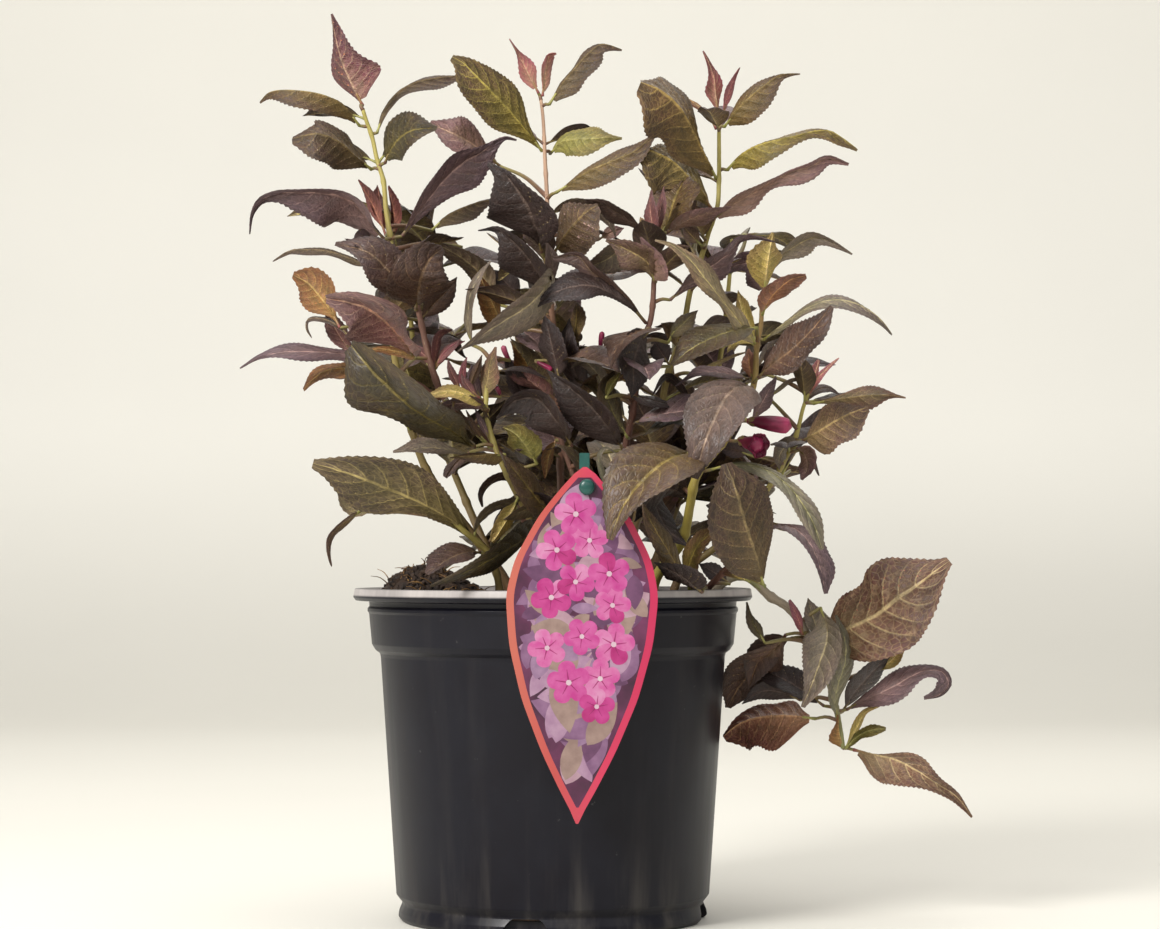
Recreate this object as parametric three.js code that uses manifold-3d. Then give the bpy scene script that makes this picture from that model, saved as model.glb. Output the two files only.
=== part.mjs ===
// Weigela shrub in a round nursery pot.  Millimetres, +Z up.
// Origin: centre of the pot's underside.  +X is the side where a shoot hangs over the rim,
// -Y is the side of the picture label.
import * as THREE from 'three';
import Module from 'manifold-3d';
const wasm = await Module(); wasm.setup();

// ---------- named sizes ----------
const GAP = 0.35;                 // clearance between pieces that touch
const POT = { height: 156.7, rimRadius: 94.2, lipRadius: 95.0, neckRadius: 87.4, collarRadius: 87.6,
              collarFoot: 130.0, bodyTop: 81.9, bodyFoot: 74.4, footRadius: 73.3, wall: 1.6, segments: 26 };
const ARCH = { count: 4, first: -99.4, foot: 30, top: 12, height: 7.9 };   // drain openings in the foot ring
const SOIL = { level: 149.5, radius: 84.0, heapHeight: 17, heapAt: [-60, -18], heapWidth: 17 };
const LABEL = { bottom: [11.6, 53.6], top: [15.1, 211.7], y: -98.7, thickness: 0.9, hole: [16.0, 202.8, 3.3],
                // half width against the share of the height, tip to top
                halfWidth: [[0, 0.6], [0.08, 7], [0.2, 16.5], [0.35, 26], [0.5, 32], [0.64, 34], [0.74, 30.5], [0.865, 20], [0.94, 10.5], [0.985, 5]] };
const PEG = { knobRadius: 3.6, shankRadius: 2.4, strap: [12.6, 17.2], strapFront: -97.95, strapBack: -96.9, strapTop: 218.0, strapFoot: 150.0 };
const STEM_SIDES = 5;

// ---------- small helpers ----------
const V = (x, y, z) => new THREE.Vector3(x, y, z);
const DEG = Math.PI / 180;
function seeded(seed) {           // small repeatable random source
  let s = seed >>> 0;
  return () => { s = (s + 0x6D2B79F5) >>> 0; let t = Math.imul(s ^ (s >>> 15), 1 | s);
    t = (t + Math.imul(t ^ (t >>> 7), 61 | t)) ^ t; return ((t ^ (t >>> 14)) >>> 0) / 4294967296; };
}
function solid(points, faces) {   // closed mesh -> manifold
  return new wasm.Manifold(new wasm.Mesh({ numProp: 3,
    vertProperties: new Float32Array(points.flatMap(p => [p.x, p.y, p.z])), triVerts: new Uint32Array(faces.flat()) }));
}
// rings of equal count joined into a closed skin; first and last are single points or capped rings
function loft(rings) {
  const pts = [], idx = [], faces = [];
  for (const r of rings) { idx.push({ at: pts.length, n: r.length }); pts.push(...r); }
  for (let k = 0; k + 1 < rings.length; k++) {
    const a = idx[k], b = idx[k + 1];
    if (a.n === 1) for (let i = 0; i < b.n; i++) faces.push([a.at, b.at + (i + 1) % b.n, b.at + i]);
    else if (b.n === 1) for (let i = 0; i < a.n; i++) faces.push([b.at, a.at + i, a.at + (i + 1) % a.n]);
    else for (let i = 0; i < a.n; i++) { const j = (i + 1) % a.n;
      faces.push([a.at + i, a.at + j, b.at + j], [a.at + i, b.at + j, b.at + i]); }
  }
  const a = idx[0], b = idx[idx.length - 1];
  if (a.n > 1) for (let i = 1; i + 1 < a.n; i++) faces.push([a.at, a.at + i + 1, a.at + i]);
  if (b.n > 1) for (let i = 1; i + 1 < b.n; i++) faces.push([b.at, b.at + i, b.at + i + 1]);
  let vol = 0; for (const [p, q, r] of faces) vol += pts[p].dot(V(0, 0, 0).crossVectors(pts[q], pts[r]));
  if (vol < 0) for (const f of faces) f.reverse();
  return solid(pts, faces);
}
const bounds = m => { const b = m.boundingBox(); return [b.min, b.max]; };
const meet = (a, b) => { const [p, q] = bounds(a), [r, s] = bounds(b); return [0, 1, 2].every(i => p[i] <= s[i] && r[i] <= q[i]); };
function largest(m) { const parts = m.decompose(); let best = parts[0];
  for (const p of parts) if (p.volume() > best.volume()) best = p; return best; }
function turned(profile, segments) {   // closed turned solid whose profile starts and ends on the axis
  const rings = profile.map(([r, z]) => r < 1e-6 ? [V(0, 0, z)]
    : Array.from({ length: segments }, (_, i) => V(r * Math.cos(2 * Math.PI * i / segments), r * Math.sin(2 * Math.PI * i / segments), z)));
  return loft(rings);
}

// ---------- pot ----------
const P = POT, wall = P.wall;
let pot = turned([[0, 0], [46, 0], [47.5, 3], [69.2, 3], [69.8, 0], [71.6, 0], [P.footRadius, 1.7], [71.4, 8.2],
  [P.bodyFoot, 12.1], [82.2, 125.6], [86.0, P.collarFoot], [P.collarRadius, 145.7], [P.neckRadius, 148.6],
  [88.6, 151.0], [P.lipRadius, 152.7], [P.rimRadius, P.height], [91.9, P.height], [86.2, 149.5],
  [84.6, 131.0], [80.4, 124.6], [P.bodyFoot - wall, 13], [70.2, 6.5], [0, 6.5]], P.segments);
for (let k = 0; k < ARCH.count; k++) {
  const a = (ARCH.first + 360 / ARCH.count * k) * DEG, out = V(Math.cos(a), Math.sin(a), 0), side = V(-Math.sin(a), Math.cos(a), 0);
  const ring = r => [[-ARCH.foot, -1], [ARCH.foot, -1], [ARCH.top, ARCH.height], [-ARCH.top, ARCH.height]]
    .map(([w, z]) => out.clone().multiplyScalar(r).addScaledVector(side, w / 2).add(V(0, 0, z)));
  pot = pot.subtract(loft([ring(67.5), ring(80)]));
}

// ---------- stems: [name, foot radius, tip radius, way points] ----------
// every stem is one tapering limb on a smooth curve from a flat cut in the root ball to its tip
const STEMS = [
  ['left_tall',    2.5, 1.1, [[-16, 22, 138], [-30, 18, 170], [-60, -2, 222], [-76, -8, 262], [-76, -12, 315], [-84, -8, 366]]],
  ['left_front',   2.4, 1.3, [[-8, -14, 138], [-6, -22, 178], [-28, -34, 226], [-50, -36, 243], [-60, -36, 262], [-59, -38, 274]]],
  ['inner',        2.0, 1.2, [[8, -26, 138], [-2, -40, 180], [-19, -44, 214], [-31, -42, 238], [-34, -42, 254]]],
  ['centre',       2.3, 1.0, [[4, 12, 138], [2, 2, 200], [-1, -20, 262], [-2, -31, 296], [-3, -22, 320], [-3, -4, 342], [-4, 15, 364], [-6, 21, 386]]],
  ['middle_front', 1.9, 1.2, [[16, -36, 138], [14, -48, 185], [6, -45, 230]]],
  ['right_tall',   2.5, 1.1, [[28, 20, 138], [40, 18, 200], [56, 16, 262], [66, 12, 300], [79, 10, 340], [80, 10, 372]]],
  ['centre_right', 2.4, 1.2, [[26, -6, 138], [30, -16, 200], [37, -28, 240], [45, -36, 276], [48, -38, 300], [48, -34, 316]]],
  ['right',        3.0, 1.2, [[46, -12, 138], [57, -38, 170], [65, -58, 206], [80, -46, 234], [93, -35, 252], [97, -24, 272], [99, -16, 296]]],
  ['far_right',    2.4, 1.2, [[56, 14, 138], [76, 6, 186], [104, -6, 218], [116, -12, 236], [119, -12, 240]]],
  ['low_left',     2.0, 1.4, [[-24, -34, 138], [-27, -44, 172], [-37, -53, 184], [-48, -58, 192]]],
  ['front_corner', 1.9, 1.2, [[60, -34, 138], [70, -42, 155], [80, -51, 166], [91, -62, 180]]],
  ['hanging',      2.6, 2.3, [[66, -24, 138], [78, -18, 158], [90, -10, 163], [100, -6, 156]]],
  ['over_rim',     2.3, 1.3, [[102.6, -5.4, 153], [112, -3, 147], [122, -1, 133], [131, 1, 115], [136, 4, 97]]],
  ['left_side',    1.4, 1.1, [[-52, -37, 245], [-66, -43, 254], [-84, -48, 261]]],
  ['back_left',    2.4, 1.2, [[-22, 42, 138], [-44, 54, 200], [-66, 58, 256], [-72, 52, 300], [-74, 46, 330]]],
  ['back',         2.4, 1.2, [[8, 46, 138], [6, 66, 200], [8, 74, 258]]],
  ['back_right',   2.4, 1.2, [[42, 38, 138], [62, 56, 200], [80, 60, 256], [86, 52, 300], [88, 46, 322]]],
];
function stem([, r0, r1, way], grow = 0) {
  const curve = new THREE.CatmullRomCurve3(way.map(p => V(...p)), false, 'centripetal');
  const steps = Math.max(4, Math.round(curve.getLength() / 30)), rings = [];
  let u = V(1, 0, 0);
  for (let i = 0; i <= steps; i++) {
    const t = curve.getTangentAt(i / steps), p = curve.getPointAt(i / steps);
    if (i === 0) t.set(0, 0, 1).lerp(curve.getTangentAt(0), way[0][2] === 138 ? 0 : 1).normalize();
    u.addScaledVector(t, -u.dot(t)).normalize();
    const v = V(0, 0, 0).crossVectors(t, u), r = r0 + (r1 - r0) * i / steps + grow * 1.3;
    if (grow && i === 0) p.addScaledVector(t, -grow); if (grow && i === steps) p.addScaledVector(t, grow);
    rings.push(Array.from({ length: STEM_SIDES }, (_, k) => { const a = 2 * Math.PI * k / STEM_SIDES;
      return p.clone().addScaledVector(u, r * Math.cos(a)).addScaledVector(v, r * Math.sin(a)); }));
  }
  return loft(rings);
}

// ---------- root ball ----------
function soilSolid() {
  const S = SOIL, n = 18, rnd = seeded(7), top = [];
  const heap = (x, y) => S.heapHeight * Math.exp(-((x - S.heapAt[0]) ** 2 + (y - S.heapAt[1]) ** 2) / (2 * S.heapWidth ** 2));
  const ring = (r, z) => Array.from({ length: n }, (_, i) => V(r * Math.cos(2 * Math.PI * i / n), r * Math.sin(2 * Math.PI * i / n), z));
  for (const r of [82, 71, 52, 28]) top.push(ring(r, 0).map(p => V(p.x, p.y, S.level - (r > 80 ? 3 : 0) + heap(p.x, p.y) * (r > 80 ? 0.55 : 1) + (rnd() - 0.5) * 2.4)));
  return loft([[V(0, 0, 6.9)], ring(69.4, 6.9), ring(P.bodyFoot - wall - 0.9, 13.4), ring(79.2, 123.8), ring(83.2, 131), ring(84.3, 143.5), ...top, [V(0, 0, S.level + 1)]]);
}

// ---------- label card and its peg ----------
const block = (x0, x1, y0, y1, z0, z1) => loft([[V(x0, y0, z0), V(x1, y0, z0), V(x1, y1, z0), V(x0, y1, z0)], [V(x0, y0, z1), V(x1, y0, z1), V(x1, y1, z1), V(x0, y1, z1)]]);
function pin(x, z, stations, sides) {          // round bar along Y through [y, radius] stations
  return loft(stations.map(([y, r]) => Array.from({ length: sides }, (_, i) => V(x + r * Math.cos(2 * Math.PI * i / sides), y, z + r * Math.sin(2 * Math.PI * i / sides)))));
}
function labelSolid(grow = 0, hole = true) {
  const L = LABEL, H = L.top[1] - L.bottom[1];
  const side = k => L.halfWidth.map(([s, w]) => [L.bottom[0] + s * (L.top[0] - L.bottom[0]) + k * (w + grow), L.bottom[1] + s * H]);
  const outline = [...side(1), [L.top[0], L.top[1] + grow], ...side(-1).reverse()];
  const face = y => outline.map(([x, z]) => V(x, y, z));
  const card = loft([face(L.y - L.thickness / 2 - grow), face(L.y + L.thickness / 2 + grow)]);
  return hole ? card.subtract(pin(L.hole[0], L.hole[1], [[L.y - 3, L.hole[2]], [L.y + 3, L.hole[2]]], 12)) : card;
}
function pegSolid(grow = 0) {                   // knob through the card, strap behind it, hook over the rim
  const Q = PEG, g = grow, [x, z] = LABEL.hole, [x0, x1] = Q.strap;
  const knob = pin(x, z, [[LABEL.y - 3.4 - g, Q.knobRadius * 0.7 + g], [LABEL.y - 2.4, Q.knobRadius + g], [LABEL.y - 0.8 + g, Q.knobRadius + g]], 10);
  const shank = pin(x, z, [[LABEL.y - 1.2, Q.shankRadius + g], [Q.strapFront + 0.4, Q.shankRadius + g]], 10);
  const strap = block(x0 - g, x1 + g, Q.strapFront - g, Q.strapBack + g, Q.strapFoot - g, Q.strapTop + g);
  const over = block(x0 - g, x1 + g, Q.strapFront - g + 0.2, -86.6 + g, 157.2 - g, 158.7 + g);
  const leg = block(x0 - g, x1 + g, -87.8 - g, -86.6 + g, 154.3 - g, 158.2);
  return knob.add(shank).add(strap).add(over).add(leg);
}

// ---------- masses of foliage ----------
// at: middle; core: half sizes of the lumpy heart; lobes: [bearing, rise, reach, breadth, arch, face]
// bearing and rise in degrees, reach and breadth in mm, arch = how far the lobe bows up,
// face = 0 when its flat side looks to -Y, 90 when it looks up, 180 when it shows its underside
const MASSES = [
  { name: 'left_top', at: [-89, -13, 375], core: [17, 15, 16], lobes: [[41, 26, 69, 24, 9, 104], [-41, -5, 47, 32, 2, 25], [-178, 73, 56, 25, -2, 165], [-178, 13, 51, 26, 7, 118], [-146, -13, 41, 30, -5, 30]] },
  { name: 'centre_top', at: [-7, 15, 387], core: [16, 12, 15], lobes: [[-148, 17, 45, 36, -9, 150], [2, 37, 50, 24, 6, 126], [-20, -20, 46, 26, -6, 124], [168, 67, 39, 18, 0, 165] ] },
  { name: 'right_top', at: [82, 1, 365], core: [17, 14, 18], lobes: [[-142, 27, 60, 36, -6, 14], [-12, -1, 64, 24, 3, 116], [-158, -1, 46, 33, -13, 18], [-14, 44, 51, 27, 8, 128], [155, 76, 50, 22, 6, 162]] },
  { name: 'left_upper', at: [-80, -15, 329], core: [17, 15, 16], lobes: [[-3, 28, 76, 34, 6, 50], [36, 35, 69, 26, 6, 35], [-153, 1, 69, 31, 8, 60], [163, -16, 59, 20, -5, 94], [102, 40, 35, 22, -4, 20]] },
  { name: 'right_upper', at: [98, -16, 296], core: [16, 15, 15], lobes: [[-134, 15, 81, 25, -13, 128], [15, 23, 50, 27, 13, 42], [123, 17, 37, 28, 12, 28], [-54, 71, 30, 23, -5, 168]] },
  { name: 'far_right', at: [121, -16, 237], core: [15, 11, 14], lobes: [[-15, 11, 47, 24, 6, 126], [-142, -84, 29, 26, -6, 20], [41, 31, 29, 13, 4, 40]] },
  { name: 'hanging_lower', at: [133, 3, 97], core: [14, 10, 13], lobes: [[155, 6, 56, 42, 10, 8], [-13, -37, 85, 24, -3, 34], [-17, 12, 59, 30, 6, 24]] },
  { name: 'hanging_upper', at: [139, -5, 128], core: [14, 11, 14], lobes: [[-28, 40, 68, 40, 1, 6], [-131, -36, 44, 27, 9, 8]] },
  { name: 'left_outer', at: [-90, -50, 262], core: [17, 17, 16], lobes: [[138, 38, 68, 26, 9, 160], [-113, 20, 42, 40, 8, 8], [-174, -3, 55, 22, 7, 66], [5, -39, 60, 38, 0, 15]] },
  { name: 'left_inner', at: [-54, -42, 275], core: [16, 12, 18], lobes: [[-172, 42, 66, 33, 10, 35], [-91, 63, 46, 40, 6, 12]] },
  { name: 'left_low', at: [-54, -60, 197], core: [17, 15, 14], lobes: [[-137, 13, 72, 39, -9, 12], [-164, -31, 57, 16, 11, 50], [46, 36, 35, 26, 0, 28]] },
  { name: 'front_low', at: [-22, -52, 190], core: [16, 15, 15], lobes: [[-131, -28, 72, 34, 2, 35], [20, 10, 34, 22, 0, 30]] },
  { name: 'centre_upper', at: [0, -20, 333], core: [16, 16, 16], lobes: [[-127, 18, 51, 40, -11, 14], [4, 38, 59, 27, 3, 118], [124, 32, 50, 24, 3, 40], [24, -20, 34, 24, 8, 60]] },
  { name: 'right_inner', at: [49, -37, 319], core: [15, 13, 15], lobes: [[64, 44, 42, 38, 1, 15], [-20, 22, 37, 32, 3, 22], [-177, 28, 38, 25, 2, 56]] },
  { name: 'centre_middle', at: [-3, -42, 288], core: [17, 15, 16], lobes: [[152, 26, 84, 30, 4, 140], [-132, -25, 65, 30, 8, 58], [5, -13, 44, 34, 0, 32], [-159, 42, 45, 36, 5, 10]] },
  { name: 'right_outer', at: [93, -42, 254], core: [17, 16, 18], lobes: [[-121, -43, 77, 41, 10, 6], [-40, 31, 52, 38, -5, 16], [-13, 13, 66, 24, 21, 108]] },
  { name: 'right_middle', at: [51, -38, 270], core: [17, 13, 17], lobes: [[-14, 40, 68, 32, 10, 28], [-22, 3, 52, 36, -2, 22], [-132, -21, 41, 40, 8, 28]] },
  { name: 'front_right', at: [54, -64, 189], core: [14, 15, 17], lobes: [[-119, -11, 54, 34, 26, 10], [-4, -68, 30, 28, 0, 22]] },
  { name: 'front_corner', at: [92, -66, 182], core: [15, 13, 15], lobes: [[-120, 41, 47, 42, -15, 6], [-1, -41, 44, 29, 12, 28], [159, 47, 39, 21, 0, 66]] },
  { name: 'inner', at: [-36, -43, 252], core: [13, 11, 16], lobes: [[-137, -20, 35, 19, 0, 140]] },
  { name: 'centre_low', at: [3, -46, 236], core: [18, 14, 19], lobes: [[-102, 23, 44, 38, -9, 12], [-137, -6, 43, 38, 3, 12], [139, 74, 44, 28, 4, 12]] },
];
// masses on the far side, laid out by rule: `lobes` petals turned by the golden angle about `look`
const REAR = [
  { name: 'back_left', at: [-70, 66, 262], core: [19, 17, 23], look: 118, count: 4, reach: 68, breadth: 44 },
  { name: 'back_right', at: [80, 68, 258], core: [19, 17, 23], look: 62, count: 4, reach: 68, breadth: 44 },
  { name: 'back_middle', at: [8, 78, 268], core: [19, 17, 23], look: 90, count: 4, reach: 66, breadth: 46 },
  { name: 'back_low', at: [6, 78, 196], core: [26, 17, 18], look: 90, count: 3, reach: 70, breadth: 46 },
  { name: 'back_high_left', at: [-74, 44, 336], core: [15, 13, 18], look: 110, count: 3, reach: 52, breadth: 38 },
  { name: 'back_high_right', at: [88, 44, 328], core: [15, 13, 18], look: 70, count: 3, reach: 52, breadth: 38 },
];
for (const m of REAR) {
  const rnd = seeded(m.name.length * 97 + m.count);
  m.lobes = Array.from({ length: m.count }, (_, k) => {
    const spread = ((k * 137.5) % 180) - 90, rise = -22 + 58 * ((k * 0.618 + 0.25) % 1);
    return [m.look + spread * 0.86, rise, m.reach * (0.84 + 0.2 * rnd()), m.breadth * (0.85 + 0.2 * rnd()), 5, 40 + 70 * rnd()];
  });
  MASSES.push(m);
}
function core(at, half, seed, grow) {          // lumpy heart of a mass
  const rnd = seeded(seed), lon = 6, rows = [-0.62, 0.05, 0.68], jitter = () => 0.84 + 0.32 * rnd();
  const point = (x, y, z, j) => V(at[0] + x * (half[0] * j + grow), at[1] + y * (half[1] * j + grow), at[2] + z * (half[2] * j + grow));
  return loft([[point(0, 0, -1, jitter())], ...rows.map((z, k) => Array.from({ length: lon }, (_, i) => {
    const a = 2 * Math.PI * (i + 0.5 * k) / lon, q = Math.sqrt(1 - z * z); return point(q * Math.cos(a), q * Math.sin(a), z, jitter()); })), [point(0, 0, 1, jitter())]]);
}
function lobe(at, [bearing, rise, reach, breadth, arch, face], grow) {   // flat petal, pointed at both ends
  const b = bearing * DEG, e = rise * DEG, t = V(Math.cos(e) * Math.cos(b), Math.cos(e) * Math.sin(b), Math.sin(e));
  const n0 = V(0, -1, 0).addScaledVector(t, t.y).normalize(), up = V(0, 0, 0).crossVectors(t, n0);
  if (up.z < 0 || (Math.abs(up.z) < 1e-6 && up.x < 0)) up.negate();
  const n = n0.clone().multiplyScalar(Math.cos(face * DEG)).addScaledVector(up, Math.sin(face * DEG)), w = V(0, 0, 0).crossVectors(t, n);
  const thick = Math.max(3.0, 0.11 * breadth) + grow * 1.4;
  const at3 = s => V(...at).addScaledVector(t, reach * s).add(V(0, 0, 4 * arch * s * (1 - s)));
  const ring = (s, k) => { const p = at3(s), hw = breadth / 2 * k + grow * 1.6;
    return [p.clone().addScaledVector(w, hw), p.clone().addScaledVector(n, thick), p.clone().addScaledVector(w, -hw), p.clone().addScaledVector(n, -thick)]; };
  const rings = breadth < 32 ? [ring(0.42, 0.9), ring(0.78, 0.8)] : [ring(0.36, 0.72), ring(0.62, 1.0), ring(0.86, 0.55)];
  return loft([[at3(0.02)], ...rings, [at3(1 + grow * 2.2 / reach)]]);
}
function mass(m, i, grow = 0) {
  let s = core(m.at, m.core, 11 + i * 5, grow);
  for (const l of m.lobes) s = s.add(lobe(m.at, l, grow));
  return s;
}

// ---------- put together: later masses give way to everything before them ----------
const group = new THREE.Group(); group.name = 'weigela_in_pot';
function put(name, m, color, roughness) {
  const k = m.getMesh(), g = new THREE.BufferGeometry(), pos = [];
  for (let i = 0; i < k.vertProperties.length; i += k.numProp) pos.push(k.vertProperties[i], k.vertProperties[i + 1], k.vertProperties[i + 2]);
  g.setAttribute('position', new THREE.Float32BufferAttribute(pos, 3));
  g.setIndex(Array.from(k.triVerts)); g.computeVertexNormals();
  const mesh = new THREE.Mesh(g, new THREE.MeshStandardMaterial({ color, roughness, metalness: 0 }));
  mesh.name = name; group.add(mesh);
}
put('pot', pot, 0x14161c, 0.42);
let soil = soilSolid();
for (const s of STEMS) { const g = stem(s, 0.8); if (meet(g, soil)) soil = soil.subtract(g); }
put('root_ball', largest(soil).simplify(0.5), 0x2a1d14, 0.95);
const stems = STEMS.map(s => stem(s));
for (let i = 1; i < stems.length; i++) for (let j = 0; j < i; j++) {     // a later stem gives way to an earlier one
  const g = stem(STEMS[j], GAP); if (meet(stems[i], g)) stems[i] = largest(stems[i].subtract(g));
}
STEMS.forEach((s, i) => put('stem_' + s[0], stems[i], 0x6f6a3c, 0.7));
const label = labelSolid(), peg = pegSolid();
put('label_card', label, 0xa02a4a, 0.45);
put('label_peg', peg, 0x14453f, 0.4);
const grownFixed = [...STEMS.map(s => stem(s, 0.8)), labelSolid(0.9, false), pegSolid(0.9)];
// the pot and its filling, grown, as a plain keep-out shape
const keepOut = turned([[0, 5], [76.3, 5], [84, 128], [90, 146], [96.6, 151], [96.6, 157.8], [86, 157.8], [84, 153.2], [0, 153.2]], P.segments);
const taken = [];
MASSES.forEach((m, i) => {
  let s = mass(m, i);
  if (meet(s, keepOut)) s = s.subtract(keepOut);
  for (const f of grownFixed) if (meet(s, f)) s = s.subtract(f);
  for (const f of taken) if (meet(s, f)) s = s.subtract(f);
  taken.push(mass(m, i, 0.95));
  s = largest(s).simplify(0.6);
  put('mass_' + m.name, s, 0x4a3430, 0.8);
});
export default group;
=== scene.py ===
# Weigela in a nursery pot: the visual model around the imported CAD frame.
import bpy, math
import numpy as np
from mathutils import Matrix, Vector, noise


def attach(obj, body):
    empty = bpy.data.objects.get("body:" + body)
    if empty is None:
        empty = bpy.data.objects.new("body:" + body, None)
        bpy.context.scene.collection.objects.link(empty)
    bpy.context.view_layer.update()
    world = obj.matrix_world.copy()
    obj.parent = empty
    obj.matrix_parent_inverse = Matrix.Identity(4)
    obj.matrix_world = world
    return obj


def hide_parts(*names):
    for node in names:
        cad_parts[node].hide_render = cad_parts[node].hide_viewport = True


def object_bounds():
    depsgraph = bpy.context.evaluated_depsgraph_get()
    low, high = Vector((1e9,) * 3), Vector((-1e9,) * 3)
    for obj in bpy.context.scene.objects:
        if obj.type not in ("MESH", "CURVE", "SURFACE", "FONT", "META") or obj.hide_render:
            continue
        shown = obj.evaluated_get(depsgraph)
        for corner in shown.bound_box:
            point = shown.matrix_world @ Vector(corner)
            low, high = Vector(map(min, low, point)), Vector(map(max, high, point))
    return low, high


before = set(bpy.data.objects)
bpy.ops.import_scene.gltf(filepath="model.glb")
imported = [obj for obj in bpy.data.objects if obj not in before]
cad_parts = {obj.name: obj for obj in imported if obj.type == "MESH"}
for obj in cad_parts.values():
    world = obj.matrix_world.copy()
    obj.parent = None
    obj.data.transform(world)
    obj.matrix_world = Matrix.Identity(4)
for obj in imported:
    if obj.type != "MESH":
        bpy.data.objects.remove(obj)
cad_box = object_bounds()
MM = 0.001
rng = np.random.default_rng(4021)

# ------------------------------------------------------------------ camera
def make_camera():
    cam = bpy.data.cameras.new("camera")
    cam.sensor_fit = 'HORIZONTAL'
    cam.sensor_width = 36.0
    cam.lens = 3000.0 / 1160.0 * 36.0
    cam.clip_start, cam.clip_end = 0.05, 50.0
    ob = bpy.data.objects.new("camera", cam)
    ob.location = (0.0129, -1.432, 0.1744)
    ob.rotation_euler = (math.radians(90 + 1.651), 0.0, 0.0)
    bpy.context.scene.collection.objects.link(ob)
    bpy.context.scene.camera = ob
make_camera()

# ------------------------------------------------------------------ colours and node helpers
def lin(h, alpha=1.0):
    h = h.lstrip('#')
    c = [int(h[i:i + 2], 16) / 255.0 for i in (0, 2, 4)]
    return tuple((x / 12.92 if x <= 0.04045 else ((x + 0.055) / 1.055) ** 2.4) for x in c) + (alpha,)

class Nodes:
    """Short hand for building a material's node tree."""
    def __init__(self, name):
        self.mat = bpy.data.materials.new(name)
        self.mat.use_nodes = True
        self.t = self.mat.node_tree
        self.t.nodes.clear()
        self.out = self.t.nodes.new("ShaderNodeOutputMaterial")
        self.bsdf = self.t.nodes.new("ShaderNodeBsdfPrincipled")
        self.t.links.new(self.bsdf.outputs[0], self.out.inputs[0])
    def new(self, kind, **kw):
        n = self.t.nodes.new("ShaderNode" + kind)
        for k, v in kw.items():
            setattr(n, k, v)
        return n
    def plug(self, value, socket):
        if isinstance(value, bpy.types.NodeSocket):
            self.t.links.new(value, socket)
        elif value is not None:
            socket.default_value = value
    def math(self, op, a, b=None, c=None, clamp=False):
        n = self.new("Math", operation=op, use_clamp=clamp)
        self.plug(a, n.inputs[0])
        if b is not None: self.plug(b, n.inputs[1])
        if c is not None: self.plug(c, n.inputs[2])
        return n.outputs[0]
    def smooth(self, v, lo, hi, to0=0.0, to1=1.0):
        n = self.new("MapRange", interpolation_type='SMOOTHSTEP')
        self.plug(v, n.inputs[0])
        n.inputs[1].default_value, n.inputs[2].default_value = lo, hi
        n.inputs[3].default_value, n.inputs[4].default_value = to0, to1
        return n.outputs[0]
    def line(self, v, lo, hi, to0=0.0, to1=1.0):
        n = self.new("MapRange")
        n.clamp = True
        self.plug(v, n.inputs[0])
        n.inputs[1].default_value, n.inputs[2].default_value = lo, hi
        n.inputs[3].default_value, n.inputs[4].default_value = to0, to1
        return n.outputs[0]
    def ramp(self, v, stops, mode='LINEAR'):
        n = self.new("ValToRGB")
        n.color_ramp.interpolation = mode
        e = n.color_ramp.elements
        while len(e) < len(stops): e.new(0.5)
        for el, (p, c) in zip(e, stops):
            el.position = p
            el.color = lin(c) if isinstance(c, str) else c
        self.plug(v, n.inputs[0])
        return n.outputs[0]
    def mix(self, fac, a, b, mode='MIX'):
        n = self.new("Mix", data_type='RGBA', blend_type=mode)
        self.plug(fac, n.inputs[0])
        self.plug(lin(a) if isinstance(a, str) else a, n.inputs[6])
        self.plug(lin(b) if isinstance(b, str) else b, n.inputs[7])
        return n.outputs[2]
    def noise(self, vec, scale, detail=2.0, rough=0.5, dim='3D', w=None, dist=0.0):
        n = self.new("TexNoise", noise_dimensions=dim)
        self.plug(vec, n.inputs["Vector"])
        n.inputs["Scale"].default_value = scale
        n.inputs["Detail"].default_value = detail
        n.inputs["Roughness"].default_value = rough
        n.inputs["Distortion"].default_value = dist
        if w is not None: self.plug(w, n.inputs["W"])
        return n.outputs[0]
    def combine(self, x, y, z=0.0):
        n = self.new("CombineXYZ")
        for v, s in zip((x, y, z), n.inputs): self.plug(v, s)
        return n.outputs[0]
    def bump(self, height, strength, distance, normal=None):
        n = self.new("Bump")
        n.inputs["Strength"].default_value = strength
        n.inputs["Distance"].default_value = distance
        self.plug(height, n.inputs["Height"])
        if normal is not None: self.plug(normal, n.inputs["Normal"])
        return n.outputs[0]
    def done(self, color=None, rough=None, normal=None, **plain):
        if color is not None: self.plug(lin(color) if isinstance(color, str) else color, self.bsdf.inputs["Base Color"])
        if rough is not None: self.plug(rough, self.bsdf.inputs["Roughness"])
        if normal is not None: self.plug(normal, self.bsdf.inputs["Normal"])
        for k, v in plain.items(): self.bsdf.inputs[k.replace('_', ' ')].default_value = v
        return self.mat

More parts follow.
